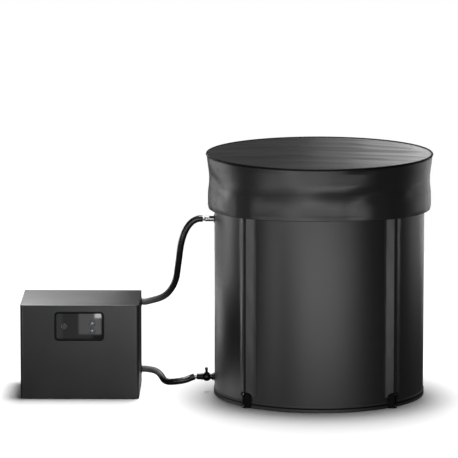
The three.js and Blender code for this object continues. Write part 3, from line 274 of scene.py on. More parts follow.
def clothFinish(name, colour, roughness, threads=900.0, depth=0.00003, dust=0.12, specular=0.5, paintedStreaks=0.0):
    # Coated cloth: woven bump, slubs along the weft, seams darker, and a trace of dust. Painted streaks: long
    # drifts of painted sheen and shade across the cloth, as shares of its colour, in place of the slubs'
    # tone.
    look = clothLook
    material, tree = newFinish(name, roughness, specular=specular)
    cloth = addNode(tree, "UVMap", {}, uv_map="cloth")["UV"]
    weave = addNode(tree, "Group", {"Threads": threads, "Cloth": cloth}, node_tree=weaveShader)
    if paintedStreaks:
        # Painted sheen and shade: long streaks that lighten and darken the cloth's own colour
        drift = noise(tree, stretched(tree, cloth, look["paintedStreaks"]), *look["streakNoise"])
        tone = toned(tree, colour, (1.0 - paintedStreaks, 1.0 + paintedStreaks), spread(tree, drift, *look["streakSpread"]))
    else:
        tone = toned(tree, colour, look["tones"], weave["Tone"])
    sewn = tinted(tree, tone, shade(colour, look["seamTone"]), ownMask(tree, "seam"))
    dusty = tinted(tree, sewn, look["dustColour"], masked(tree, dustShader, dust))
    rough = spread(tree, weave["Tone"], roughness - look["smoother"], roughness + look["rougher"])
    return finished(material, dusty, rough, weave["Height"], depth, look["bump"])


def mouldedFinish(name, colour, roughness, size=1400.0, depth=0.00003, wear=0.35, dust=0.1, coat=0.0,
                  specular=0.5, drift=0.065):
    # Moulded plastic or rubber: fine grain, edges polished lighter by handling, and a roughness that
    # drifts up and down by the given step
    look = mouldLook
    material, tree = newFinish(name, roughness, coat=coat, specular=specular)
    grain = grained(tree, size)
    worn, dusty = masked(tree, touchShader, wear), masked(tree, dustShader, dust)
    rubbed = tinted(tree, toned(tree, colour, look["tones"], grain["Drift"]),
                    shade(colour, look["wornTone"]), worn)
    laid = tinted(tree, rubbed, look["dustColour"], dusty)
    rough = spread(tree, grain["Drift"], roughness - drift, roughness + drift)
    return finished(material, laid, rough, grain["Height"], depth, look["bump"])


def hoseFinish(name, colour, paleRunColour, roughness):
    # Black rubber that turns a lighter, duller grey where the piece's own mask says so
    material, tree = newFinish(name, roughness)
    grain, paleRun = grained(tree, hoseLook["grain"]), ownMask(tree, "paleRun")
    tone = tinted(tree, toned(tree, colour, mouldLook["tones"], grain["Drift"]), shade(paleRunColour, 1.0),
                  paleRun)
    rough = spread(tree, paleRun, roughness, hoseLook["paleRunRoughness"])
    return finished(material, tone, rough, grain["Height"], hoseLook["depth"], mouldLook["bump"])


def metalFinish(name, colour, roughness, along=(1.0, 30.0, 30.0), depth=0.00001, wear=0.2):
    # Drawn or turned metal: fine lines along one axis and a slow drift of polish
    look = metalLook
    material, tree = newFinish(name, roughness, metallic=1.0)
    lines = noise(tree, stretched(tree, ownPlace(tree), along), *look["lines"])
    grain, worn = grained(tree, look["grain"]), masked(tree, touchShader, wear)
    tone = tinted(tree, toned(tree, colour, look["tones"], lines), shade(colour, look["wornTone"]), worn)
    rough = spread(tree, grain["Drift"], roughness * look["smoother"], roughness * look["rougher"])
    return finished(material, tone, rough, lines, depth, look["bump"])


def foamFinish(name, colour):
    # Closed cells: a fine cellular bump over a chalky grey
    look = foamLook
    material, tree = newFinish(name, look["roughness"], specular=look["specular"])
    cells = addNode(tree, "TexVoronoi", {"Scale": look["cells"], "Vector": ownPlace(tree)})["Distance"]
    tone = toned(tree, colour, look["tones"], cells)
    return finished(material, tone, None, cells, look["depth"], look["bump"])


def glowFinish(name, colour, light, strength):
    # A lit legend: the light is a little uneven, as through a moulded diffuser
    look = glowLook
    material, tree = newFinish(name, look["roughness"])
    grain = grained(tree, look["grain"])
    lit = toned(tree, light, look["lightTones"], grain["Height"])
    setInputs(tree, tree.nodes["Principled BSDF"], {"Emission Color": lit, "Emission Strength": strength})
    return finished(material, toned(tree, colour, look["tones"], grain["Drift"]))


finishes = {
    "tub": clothFinish("tubCloth", (0.012, 0.012, 0.0127), 0.4, threads=700.0, dust=0.04),
    "skirt": clothFinish("skirtCloth", (0.013, 0.013, 0.0137), 0.39, dust=0.04),
    # The lid's colour carries painted streaks of sheen and shade
    "lid": clothFinish("lidCloth", (0.014, 0.014, 0.0147), 0.38, dust=0.03, paintedStreaks=0.8),
    "liner": clothFinish("linerCloth", (0.035, 0.036, 0.038), 0.42, threads=1100.0),
    "binding": clothFinish("bindingTape", (0.01, 0.01, 0.011), 0.5, threads=1200.0),
    # Also the finish of the dark strips beside the sleeve ridges, which are painted shade
    "piping": clothFinish("pipingCord", (0.0016, 0.0016, 0.0017), 0.5, threads=1400.0, dust=0.0,
                          specular=0.14),
    "thread": clothFinish("sewingThread", (0.012, 0.012, 0.013), 0.6, threads=3000.0, dust=0.0),
    "foam": foamFinish("closedCellFoam", (0.22, 0.225, 0.23)),
    "plastic": mouldedFinish("blackMoulding", (0.006, 0.006, 0.0065), 0.36),
    "fitting": mouldedFinish("fittingMoulding", (0.0016, 0.0016, 0.0017), 0.28, specular=0.25, dust=0.0),
    # Also the finish of the strip over the hem's groove, which is painted shade
    "foot": mouldedFinish("footMoulding", (0.0016, 0.0016, 0.0017), 0.5, specular=0.05, dust=0.0),
    "rubber": mouldedFinish("blackRubber", (0.012, 0.012, 0.012), 0.6, size=900.0, depth=0.00006, wear=0.15),
    "hose": hoseFinish("hoseRubber", (0.004, 0.004, 0.0042), (0.11, 0.11, 0.11), 0.33),
    "stainless": metalFinish("polishedStainless", (0.42, 0.425, 0.43), 0.34, wear=0.0),
    "pole": metalFinish("drawnAluminium", (0.55, 0.55, 0.56), 0.3, along=(30.0, 30.0, 1.0)),
    "screw": metalFinish("blackenedScrew", (0.16, 0.16, 0.165), 0.34),
    "case": mouldedFinish("powderCoat", (0.011, 0.011, 0.012), 0.37, size=1100.0, wear=0.15, dust=0.02),
    "bezel": mouldedFinish("glossMoulding", (0.0015, 0.0015, 0.0016), 0.34, size=2500.0, depth=0.00001,
                           dust=0.0, wear=0.1, specular=0.12),
    "window": mouldedFinish("smokedWindow", (0.014, 0.014, 0.0145), 0.04, depth=0.0, wear=0.0, dust=0.0,
                            drift=0.012),
    "button": mouldedFinish("buttonCap", (0.012, 0.0122, 0.013), 0.16, size=2000.0, depth=0.000005, dust=0.0,
                            coat=0.4, wear=0.0),
    "zinc": metalFinish("zincSheet", (0.45, 0.46, 0.47), 0.42),
    "fins": metalFinish("finSheet", (0.62, 0.63, 0.64), 0.36),
    "brazed": metalFinish("brazedPlates", (0.52, 0.5, 0.46), 0.34),
    "enamel": mouldedFinish("compressorEnamel", (0.006, 0.006, 0.007), 0.25, size=500.0, coat=0.5),
    "board": mouldedFinish("circuitBoard", (0.015, 0.09, 0.035), 0.4, size=400.0),
    "ringTeal": glowFinish("ringTeal", (0.012, 0.03, 0.04), (0.03, 0.17, 0.24), 0.3),
    "dotRed": glowFinish("dotRed", (0.05, 0.012, 0.01), (0.5, 0.05, 0.04), 0.1),
    "legend": glowFinish("legendWhite", (0.3, 0.3, 0.31), (0.6, 0.62, 0.65), 0.3),
    "legendFaint": glowFinish("legendFaint", (0.014, 0.016, 0.026), (0.05, 0.05, 0.16), 0.25),
}
print("finishes made:", len(finishes))


# Mesh tools: a piece is a grid of points, worked out as whole arrays

def signedVolume(points, faces):
    # Six times the volume: the sum of each face's corner products, below 0 where the faces look in
    total = 0.0
    for face in faces:
        corners = points[face]
        for last in range(2, corners.shape[1]):
            total += np.einsum("ij,ij->", corners[:, 0], np.cross(corners[:, last - 1], corners[:, last]))
    return total


def meshPiece(name, points, faces):
    # An object of its own from points and faces
    mesh = bpy.data.meshes.new(name)
    mesh.from_pydata(points.reshape(-1, 3).tolist(), [], faces)
    piece = bpy.data.objects.new(name, mesh)
    bpy.context.collection.objects.link(piece)
    return piece


def quadCorners(rows, columns):
    # The rows and columns of each quad's four corners, a quad for each point of this many rows
    r, c = np.meshgrid(np.arange(rows), np.arange(columns), indexing="ij")
    return [(r, c), (r, c + 1), (r + 1, c + 1), (r + 1, c)]


def gridPiece(name, points, wrapRows=False, capEnds=False, cloth=None, sharp=35.0):
    # Faces join each point to the next in its row, which closes on itself, and to those in the next
    # row. Cloth coordinates are the distances along rows and columns.
    rows, columns = points.shape[:2]
    corners = quadCorners(rows - (not wrapRows), columns)
    quads = np.stack([(a % rows) * columns + b % columns for a, b in corners], axis=-1).reshape(-1, 4)
    caps = []
    if capEnds:
        caps = [np.arange(columns)[::-1][None, :], ((rows - 1) * columns + np.arange(columns))[None, :]]
    flat = points.reshape(-1, 3).astype(float)
    if signedVolume(flat - flat.mean(axis=0), [quads, *caps]) < 0.0:
        quads = quads[:, ::-1]
        corners = corners[::-1]
        caps = [cap[:, ::-1] for cap in caps]
    if cloth is None:
        cloth = spacing(points, wrapRows)
    quadCloth = np.stack([cloth[a, b] for a, b in corners], axis=-2).reshape(-1, 2)
    capCloth = [flat[cap[0]][:, :2] for cap in caps]
    piece = meshPiece(name, flat, quads.tolist() + [cap[0].tolist() for cap in caps])
    layer = piece.data.uv_layers.new(name="cloth")
    layer.data.foreach_set("uv", np.concatenate([quadCloth, *capCloth]).ravel())
    mergePoints(piece)
    smoothed(piece, sharp)
    return piece


def spacing(points, wrapRows):
    # Running distances along the widest row and the mean column, one more where the grid closes
    across = np.concatenate([points, points[:, :1]], axis=1)
    grown = np.concatenate([across, across[:1]], axis=0) if wrapRows else across
    stepU = np.linalg.norm(np.diff(grown, axis=1), axis=-1)
    stepV = np.linalg.norm(np.diff(grown, axis=0), axis=-1)
    widest = stepU[np.argmax(stepU.sum(axis=1))]
    u = np.concatenate([[0.0], np.cumsum(widest)])
    v = np.concatenate([[0.0], np.cumsum(stepV.mean(axis=1))])
    return np.stack(np.broadcast_arrays(u[None, :], v[:, None]), axis=-1)


def mergePoints(piece, distance=1e-7):
    # Points closer than the distance become one
    work = bmesh.new()
    work.from_mesh(piece.data)
    bmesh.ops.remove_doubles(work, verts=work.verts, dist=distance)
    bmesh.ops.dissolve_degenerate(work, edges=work.edges, dist=distance)
    work.to_mesh(piece.data)
    work.free()


def smoothed(piece, sharp):
    # Shades smoothly over every edge that turns less than the angle, in degrees
    piece.data.shade_smooth()
    piece.data.set_sharp_from_angle(angle=math.radians(sharp))


def storeMask(piece, name, values):
    # One value for each point, for the finish to read
    mask = piece.data.attributes.new(name, "FLOAT", "POINT")
    mask.data.foreach_set("value", values.astype(np.float32))


def readArray(source, name, width, kind):
    # One row of numbers for each item of a mesh list
    values = np.empty(len(source) * width, dtype=kind)
    source.foreach_get(name, values)
    return values.reshape(-1, width)


wearSet = {"from": 15.0, "over": 30.0}


def markEdges(piece):
    # Wear at a point: (the widest angle between neighbouring faces there, less the first) / the second
    mesh = piece.data
    loopEdges = readArray(mesh.loops, "edge_index", 1, np.int64)[:, 0]
    sizes = readArray(mesh.polygons, "loop_total", 1, np.int64)[:, 0]
    normals = readArray(mesh.polygons, "normal", 3, float)
    loopFaces = np.repeat(np.arange(len(sizes)), sizes)
    order = np.argsort(loopEdges, kind="stable")
    same = np.flatnonzero(loopEdges[order][1:] == loopEdges[order][:-1])
    first, second = order[same], order[same + 1]
    cosine = np.einsum("ij,ij->i", normals[loopFaces[first]], normals[loopFaces[second]])
    angle = np.degrees(np.arccos(np.clip(cosine, -1.0, 1.0)))
    ends = readArray(mesh.edges, "vertices", 2, np.int64)[loopEdges[first]]
    wear = np.zeros(len(mesh.vertices))
    for side in (0, 1):
        np.maximum.at(wear, ends[:, side], np.clip((angle - wearSet["from"]) / wearSet["over"], 0.0, 1.0))
    storeMask(piece, "edgeWear", wear)


def keepPiece(piece, finish, body=tubBody, nodes=(), worn=False):
    # Gives the piece its finish, body and slot, and hides the solids that it stands for
    piece.data.materials.append(finishes[finish])
    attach(piece, body)
    if nodes:
        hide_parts(*nodes)
    if worn:
        markEdges(piece)
    return piece


def keepMoulded(piece, node, body=tubBody, finish="plastic"):
    # A handled part of black plastic that stands for one solid
    return keepPiece(piece, finish, body, nodes=[node], worn=True)


def roundedProfile(profile, radius, steps=4, closed=True):
    # Each corner becomes a curve that leaves its two sides at the given distance or less
    points = np.array(profile, dtype=float)
    if closed:
        before, after = np.roll(points, 1, axis=0), np.roll(points, -1, axis=0)
        corners = points
    else:
        corners, before, after = points[1:-1], points[:-2], points[2:]
    reachIn = np.linalg.norm(before - corners, axis=1, keepdims=True)
    reachOut = np.linalg.norm(after - corners, axis=1, keepdims=True)
    most = 0.45
    start = corners + (before - corners) * np.minimum(radius / reachIn, most)
    end = corners + (after - corners) * np.minimum(radius / reachOut, most)
    t = np.linspace(0.0, 1.0, steps + 1)[None, :, None]
    curve = (1 - t) ** 2 * start[:, None] + 2 * t * (1 - t) * corners[:, None] + t ** 2 * end[:, None]
    curve = curve.reshape(-1, 2)
    return curve if closed else np.concatenate([points[:1], curve, points[-1:]])


def roundRow(count):
    # Evenly spaced angles all the way round, as one row
    return np.linspace(0.0, turn, count, endpoint=False)[None, :]


def quarterArc(count):
    # Evenly spaced angles from 0 to a quarter turn, as one column
    return np.linspace(0.0, quarter, count)[:, None]


def rodProfile(radius, start, end):
    # A rod's outline, from its axis round and back to it
    return [(0.0, start), (radius, start), (radius, end), (0.0, end)]


def tubeProfile(inner, outer, start, end):
    # A tube's outline, as a closed loop
    return [(inner, start), (outer, start), (outer, end), (inner, end)]


def turnedGrid(profile, axis, sides, centre=(0.0, 0.0, 0.0)):
    # A profile of (radius, place along the axis), carried round the axis
    angles = roundRow(sides)
    radius, along = profile[:, :1], profile[:, 1:]
    first, second = radius * np.sin(angles), -radius * np.cos(angles)
    along = np.broadcast_to(along, first.shape)
    order = {"z": (first, second, along), "x": (along, first, second), "y": (second, along, first)}[axis]
    return np.stack(order, axis=-1) + np.array(centre)


def turnedPiece(name, profile, axis="z", centre=(0.0, 0.0, 0.0), sides=64, soften=0.0004, steps=4,
                hollow=True, sharp=35.0):
    # Hollow: the profile is a closed loop off the axis. Otherwise it starts and ends on the axis.
    profile = np.array(profile, dtype=float)
    if soften:
        profile = roundedProfile(profile, soften, steps, closed=hollow)
    return gridPiece(name, turnedGrid(profile, axis, sides, centre), wrapRows=hollow, sharp=sharp)


def stripPiece(name, over, under, sharp):
    # A strip's two faces joined round its edges, its ends capped
    return gridPiece(name, np.concatenate([over, under[:, ::-1]], axis=1), capEnds=True, sharp=sharp)


def roundTub(radius, height, angle):
    # x = radius sin angle, y = -radius cos angle
    radius, height, angle = np.broadcast_arrays(radius, height, angle)
    return np.stack([radius * np.sin(angle), -radius * np.cos(angle), height], axis=-1)


def planLoop(halfWidth, halfDepth, radius, steps=8):
    # A rounded rectangle: four quarter circles, counterclockwise from the right
    radius = max(radius, 1e-6)
    angles = np.linspace(0.0, quarter, steps + 1)
    arc = np.stack([np.cos(angles), np.sin(angles)], axis=-1) * radius
    turnQuarter = np.array([[0.0, 1.0], [-1.0, 0.0]])
    parts = []
    for index, signs in enumerate([(1, 1), (-1, 1), (-1, -1), (1, -1)]):
        corner = np.array(signs) * (halfWidth - radius, halfDepth - radius)
        parts.append(arc @ np.linalg.matrix_power(turnQuarter, index) + corner)
    return np.concatenate(parts)


def stackPiece(name, halfWidth, halfDepth, radius, layers, centre=(0.0, 0.0, 0.0), axis="z", steps=8,
               capEnds=True, wrapRows=False, sharp=35.0):
    # Rounded rectangles one above another: each layer is (inset, height)
    loops = []
    for inset, height in layers:
        x, y = planLoop(halfWidth - inset, halfDepth - inset, radius - inset, steps).T
        flat = np.full(len(x), height)
        loops.append(np.stack({"z": (x, y, flat), "y": (x, flat, y), "x": (flat, x, y)}[axis], axis=-1))
    return gridPiece(name, np.array(loops) + np.array(centre), capEnds=capEnds, wrapRows=wrapRows,
                     sharp=sharp)


def rodCutter(radius, start, end, axis, centre, sides=48):
    # A rod along the axis, for taking a round hole out of a piece
    return turnedPiece("cutter", rodProfile(radius, start, end), axis, centre, sides, 0.0, hollow=False)


def cutAway(piece, cutters):
    # Takes the cutters' shapes out of the piece
    for cutter in cutters:
        modifier = piece.modifiers.new("cut", "BOOLEAN")
        modifier.operation, modifier.solver, modifier.object = "DIFFERENCE", "EXACT", cutter
    whatIsLeft = piece.evaluated_get(bpy.context.evaluated_depsgraph_get())
    mesh = bpy.data.meshes.new_from_object(whatIsLeft)
    piece.modifiers.clear()
    piece.data = mesh
    for cutter in cutters:
        bpy.data.objects.remove(cutter)


def foldField(u, v, folds):
    # Sum of soft ridges and dents. Each lies along a line and fades across it and past its ends:
    # depth * exp(-(across / width)^2 - (past the ends / (2 * width))^2)
    total = np.zeros(np.broadcast(u, v).shape)
    for u0, v0, u1, v1, width, depth in folds:
        length = math.hypot(u1 - u0, v1 - v0)
        alongU, alongV = (u1 - u0) / length, (v1 - v0) / length
        along = (u - u0) * alongU + (v - v0) * alongV
        across = (u - u0) * alongV - (v - v0) * alongU
        past = np.maximum(0.0, np.abs(along - length / 2.0) - length / 2.0)
        total += depth * np.exp(-(across / width) ** 2 - (past / (2.0 * width)) ** 2)
    return total


def smoothStep(start, end, value):
    # 0 at the start, 1 at the end, and 3 t^2 - 2 t^3 between them
    share = np.clip((value - start) / (end - start), 0.0, 1.0)
    return share * share * (3.0 - 2.0 * share)


def drawnIn(edge, into):
    # How far a rounded edge has drawn in: edge - sqrt(edge^2 - into^2), with into between 0 and edge
    return edge - np.sqrt(edge ** 2 - np.clip(into, 0.0, edge) ** 2)


stitchSet = {"length": 0.0045, "width": 0.0009, "lift": 0.0001,
             "rings": ((-0.5, 0.05), (-0.3, 1.0), (0.3, 1.0), (0.5, 0.05))}


def stitchPiece(name, centres, directions, outward):
    # Each stitch is a small seed along its direction: rings of six points, (place, size), whose ends are
    # narrow and closed by two quads each
    sides, rings = 6, len(stitchSet["rings"])
    half, length = stitchSet["width"] / 2.0, stitchSet["length"]
    angles = roundRow(sides)[..., None]
    sideways = np.cross(directions, outward)[:, None]
    ring = half * (np.cos(angles) * sideways + np.sin(angles) * outward[:, None])
    rows = [centres[:, None] + directions[:, None] * length * place + ring * size
            for place, size in stitchSet["rings"]]
    points = np.concatenate(rows, axis=1)
    quads = [a * sides + b % sides for a, b in quadCorners(rings - 1, sides)]
    quads = np.stack(quads, axis=-1).reshape(1, -1, 4)
    last = (rings - 1) * sides + np.array([[0, 1, 2, 3], [0, 3, 4, 5]])
    ends = np.concatenate([[[5, 4, 3, 2], [5, 2, 1, 0]], last])[None]
    first = np.arange(len(centres))[:, None, None] * points.shape[1]
    faces = (np.concatenate([quads, ends], axis=1) + first).reshape(-1, 4)
    flat = points.reshape(-1, 3)
    if signedVolume(flat - flat.mean(axis=0), [faces]) < 0.0:
        faces = faces[:, ::-1]
    piece = meshPiece(name, flat, faces.tolist())
    piece.data.uv_layers.new(name="cloth")
    smoothed(piece, 80.0)
    return piece


def stitchRing(name, radius, height, angles):
    # Stitches along a ring round the tub
    return stitchPiece(name, roundTub(radius, height, angles), roundTub(1.0, 0.0, angles + quarter),
                       roundTub(1.0, 0.0, angles))


# Hoses: their routes from the chiller's ports to the tub's fittings
hoseSet = {"diameter": 0.0232, "bore": 0.016, "sides": 40, "samples": 14, "endRound": 0.0012,
           "paleRun": {"upperHose": (0.15, 0.02), "lowerHose": (0.115, 0.075)}}
upperRoute = [
    (-0.638, 0.1, 0.31), (-0.626, 0.1, 0.31), (-0.609, 0.098, 0.314), (-0.593, 0.0935, 0.319),
    (-0.5775, 0.087, 0.3245), (-0.562, 0.08, 0.3325), (-0.547, 0.073, 0.344), (-0.5323, 0.065, 0.3625),
    (-0.5203, 0.057, 0.385), (-0.5125, 0.048, 0.4095), (-0.5088, 0.04, 0.433), (-0.5055, 0.032, 0.457),
    (-0.502, 0.025, 0.482), (-0.499, 0.018, 0.508), (-0.495, 0.0125, 0.534), (-0.4888, 0.008, 0.559),
    (-0.48, 0.0048, 0.583), (-0.468, 0.0024, 0.604), (-0.452, 0.0008, 0.621), (-0.432, 0.0, 0.63),
    (-0.417, 0.0, 0.6305),
]
lowerRoute = [
    (-0.638, 0.1, 0.063), (-0.626, 0.1, 0.063), (-0.611, 0.097, 0.0618), (-0.595, 0.0895, 0.06),
    (-0.5806, 0.0775, 0.0554), (-0.5705, 0.062, 0.0486), (-0.563, 0.046, 0.0412), (-0.5555, 0.0305, 0.035),
    (-0.5436, 0.0165, 0.0328), (-0.53, 0.005, 0.0345), (-0.517, -0.0035, 0.037),
    (-0.5024, -0.0075, 0.0396), (-0.488, -0.0075, 0.0422), (-0.4738, -0.0045, 0.0453),
    (-0.4605, 0.0, 0.05), (-0.4469, 0.0, 0.055),
]


def throughPoints(route, samples):
    # A centripetal curve through the points: six blends of neighbours over knots of root distance
    route = np.array(route)
    padded = np.concatenate([2 * route[:1] - route[1:2], route, 2 * route[-1:] - route[-2:-1]])
    knots = np.concatenate([[0.0], np.cumsum(np.linalg.norm(np.diff(padded, axis=0), axis=1) ** 0.5)])
    p = [padded[i:len(padded) - 3 + i, None] for i in range(4)]
    k = [knots[i:len(knots) - 3 + i, None, None] for i in range(4)]
    t = k[1] + (k[2] - k[1]) * np.linspace(0.0, 1.0, samples, endpoint=False)[None, :, None]

    def blend(a, b, ka, kb):
        # Leads from a at knot ka to b at knot kb
        return (a * (kb - t) + b * (t - ka)) / (kb - ka)

    a = [blend(p[i], p[i + 1], k[i], k[i + 1]) for i in range(3)]
    b = [blend(a[i], a[i + 1], k[i], k[i + 2]) for i in range(2)]
    return np.concatenate([blend(b[0], b[1], k[1], k[2]).reshape(-1, 3), route[-1:]])


def tubeGrid(path, radius, sides, reference):
    # Circles square to the path. The reference is a direction that the path never takes.
    tangent = np.gradient(path, axis=0)
    tangent /= np.linalg.norm(tangent, axis=1, keepdims=True)
    side = np.cross(tangent, np.array(reference))
    side /= np.linalg.norm(side, axis=1, keepdims=True)
    up = np.cross(side, tangent)
    angles = roundRow(sides)[..., None]
    radius = np.broadcast_to(radius, len(path))[:, None, None]
    return path[:, None] + radius * (np.cos(angles) * side[:, None] + np.sin(angles) * up[:, None])


def hosePiece(name, node, route, reference):
    # Outside and bore, joined by rounded ends. The rubber is greyer near the chiller.
    path = throughPoints(route, hoseSet["samples"])
    radius, bore = hoseSet["diameter"] / 2.0, hoseSet["bore"] / 2.0
    edge, sides = hoseSet["endRound"], hoseSet["sides"]
    reach = np.concatenate([[0.0], np.cumsum(np.linalg.norm(np.diff(path, axis=0), axis=1))])
    outside = radius - drawnIn(edge, edge - np.minimum(reach, reach[-1] - reach))
    grid = np.concatenate([tubeGrid(path, outside, sides, reference),
                           tubeGrid(path, bore, sides, reference)[::-1]])
    piece = gridPiece(name, grid, wrapRows=True, sharp=50.0)
    # Lighter and duller grey nearest the chiller, fading to black further along
    paleRunShare = np.repeat(smoothStep(*hoseSet["paleRun"][name], reach), sides)
    storeMask(piece, "paleRun", np.concatenate([paleRunShare, paleRunShare[::-1]]))
    keepPiece(piece, "hose", nodes=[node])
    print(name, "length", round(float(reach[-1]), 3))


hosePiece("upperHose", "hose_upper", upperRoute, (0.0, 1.0, 0.0))
hosePiece("lowerHose", "hose_lower", lowerRoute, (0.0, 0.0, 1.0))


# Tub wall, foam and liner. The ripple and the seam are in metres, the seam at the back.
wallSet = {"sides": 288, "rows": 110, "ripple": 0.00022, "rippleFrom": 0.05, "seamWidth": 0.0016,
           "edgeRound": 0.001, "padEdge": 0.002, "padRows": 12, "floorEdge": 0.003,
           "waves": ((1.0, 7, 9.0, 0.0), (0.7, 13, -6.0, 1.0), (0.5, 23, 4.0, 2.0))}
grommetSet = {"sleeve": {"return_grommet": 0.0131, "valve_grommet": 0.0136}, "flangeRound": 0.0007,
              "flange": 0.0015, "cutReach": 0.08}
tubRadius = span("outer_wall", 0)[1]
foamRadius = span("wall_foam", 0)[1]
linerRadius = span("inner_liner", 0)[1]
onTub = tubRadius + seatGap


def cutFittings(piece):
    # Takes a rod out of the wall for each fitting, as wide as its grommet's sleeve
    start, end = -tubRadius - grommetSet["cutReach"], grommetSet["cutReach"] - linerRadius
    cutAway(piece, [rodCutter(sleeve, start, end, "x", (0.0, *middle(name)[1:]))
                    for name, sleeve in grommetSet["sleeve"].items()])


def wallRipple(angle, height):
    # The sum of size * sin(count * angle + drift * height + shift), over the sum of the sizes: the
    # counts are whole, so that the waves close round the tub
    waves = wallSet["waves"]
    total = sum(size * np.sin(count * angle + drift * height + shift) for size, count, drift, shift in waves)
    return total / sum(size for size, *_ in waves)


def layerPiece(name, node, outer, inner, edge, rows, ripple=0.0):
    # A wall layer: up the outside, over a rounded top edge, and down the inside
    floor, top = span(node, 2)
    angle = roundRow(wallSet["sides"])
    heights = np.linspace(floor, top - edge, rows)[:, None]
    rise = smoothStep(floor, floor + wallSet["rippleFrom"], heights) * ripple
    outside = roundTub(outer - ripple + rise * wallRipple(angle, heights), heights, angle)
    arc = quarterArc(6)[1:]
    drop, lift = edge * (1.0 - np.cos(arc)), top - edge + edge * np.sin(arc)
    overOuter = roundTub(outer - ripple - drop, lift, angle)
    overInner = roundTub(inner + drop[::-1], lift[::-1], angle)
    inside = roundTub(inner, heights[::-6], angle)
    foot = roundTub(inner, np.array([[floor]]), angle)
    piece = gridPiece(name, np.concatenate([outside, overOuter, overInner, inside, foot]), wrapRows=True,
                      sharp=60.0)
    cutFittings(piece)
    return piece


def tubWall():
    # The outer skin, with its seam up the back: a mask of exp(-(distance / width)^2)
    wall = layerPiece("tubWall", "outer_wall", tubRadius, foamRadius + seatGap, wallSet["edgeRound"],
                      wallSet["rows"], wallSet["ripple"])
    points = readArray(wall.data.vertices, "co", 3, float)
    farFront = 10.0 * (points[:, 1] < 0.0)
    storeMask(wall, "seam", np.exp(-((np.abs(points[:, 0]) + farFront) / wallSet["seamWidth"]) ** 2))
    keepPiece(wall, "tub", nodes=["outer_wall"])


def tubPads():
    # The foam between the skins, and the foam disc in the floor
    wallPad = layerPiece("wallPad", "wall_foam", foamRadius, linerRadius + seatGap, wallSet["padEdge"],
                         wallSet["padRows"])
    keepPiece(wallPad, "foam", nodes=["wall_foam"])
    floorPad = turnedPiece("floorPad", rodProfile(foamRadius, *span("floor_foam", 2)), sides=144,
                           soften=wallSet["floorEdge"], hollow=False)
    keepPiece(floorPad, "foam", nodes=["floor_foam"])


linerSet = {"thickness": 0.0025, "cornerRound": 0.018, "outerRound": 0.012, "rim": 0.001, "rows": 40,
            "outerRows": 14, "pucker": 0.0004, "puckers": 36, "puckerTop": 0.2, "puckerLow": 0.02,
            "floorWave": 0.0004}


def tubLiner():
    # A cup: down the outside, across the floor, and up the inside round a soft corner with small puckers
    floor, top = span("inner_liner", 2)
    thick, corner, outer, rim = (linerSet[key] for key in ("thickness", "cornerRound", "outerRound", "rim"))
    inner, deck, rows, outerRows = linerRadius - thick, floor + thick, linerSet["rows"], linerSet["outerRows"]
    angle, arc = roundRow(wallSet["sides"]), quarterArc(10)
    outerRadius = np.concatenate([[[0.0]], linerRadius - outer + outer * np.sin(arc),
                                  np.full((outerRows, 1), linerRadius)])
    outerHeight = np.concatenate([[[floor]], floor + outer * (1.0 - np.cos(arc)),
                                  np.linspace(floor + outer + 0.008, top - rim, outerRows)[:, None]])
    innerHeight = np.concatenate([np.linspace(top - rim, deck + corner + 0.004, rows)[:, None],
                                  deck + corner * (1.0 - np.sin(arc))])
    innerRadius = np.concatenate([np.full((rows, 1), inner), inner - corner * (1.0 - np.cos(arc))])
    pucker = (np.abs(linerSet["pucker"] * np.sin(linerSet["puckers"] * angle))
              * smoothStep(linerSet["puckerTop"], linerSet["puckerLow"], innerHeight))
    edge = roundTub(linerRadius - thick * np.array([[0.1], [0.5], [0.9]]),
                    top - rim * np.array([[0.3], [0.0], [0.3]]), angle)
    across = np.linspace(inner - corner, 0.0, 12)[1:, None]
    wave = linerSet["floorWave"] * np.sin(40.0 * across) * np.sin(3 * angle)
    grids = [roundTub(outerRadius, outerHeight, angle), edge,
             roundTub(innerRadius - pucker, innerHeight, angle), roundTub(across, deck + wave, angle)]
    liner = gridPiece("tubLiner", np.concatenate(grids), sharp=60.0)
    cutFittings(liner)
    keepPiece(liner, "liner", nodes=["inner_liner"])


tubWall()
tubPads()
tubLiner()


# Hem tape at the foot of the wall, with its stitched groove, and a very dark strip over the groove that is
# painted shade
hemSet = {"grooveHeight": 0.0136, "grooveDepth": 0.0009, "grooveSlope": 2.2, "edgeRound": 0.0009,
          "soften": 0.0008, "pucker": 0.00018, "puckers": 60, "sides": 480, "stitchPitch": 0.0075,
          "stitchHeight": 0.0072, "shadeStripHeight": 0.0052, "shadeStripLift": 0.0005, "shadeStripSeat": 0.001,
          "shadeStripSoften": 0.0007, "shadeStripSides": 360}


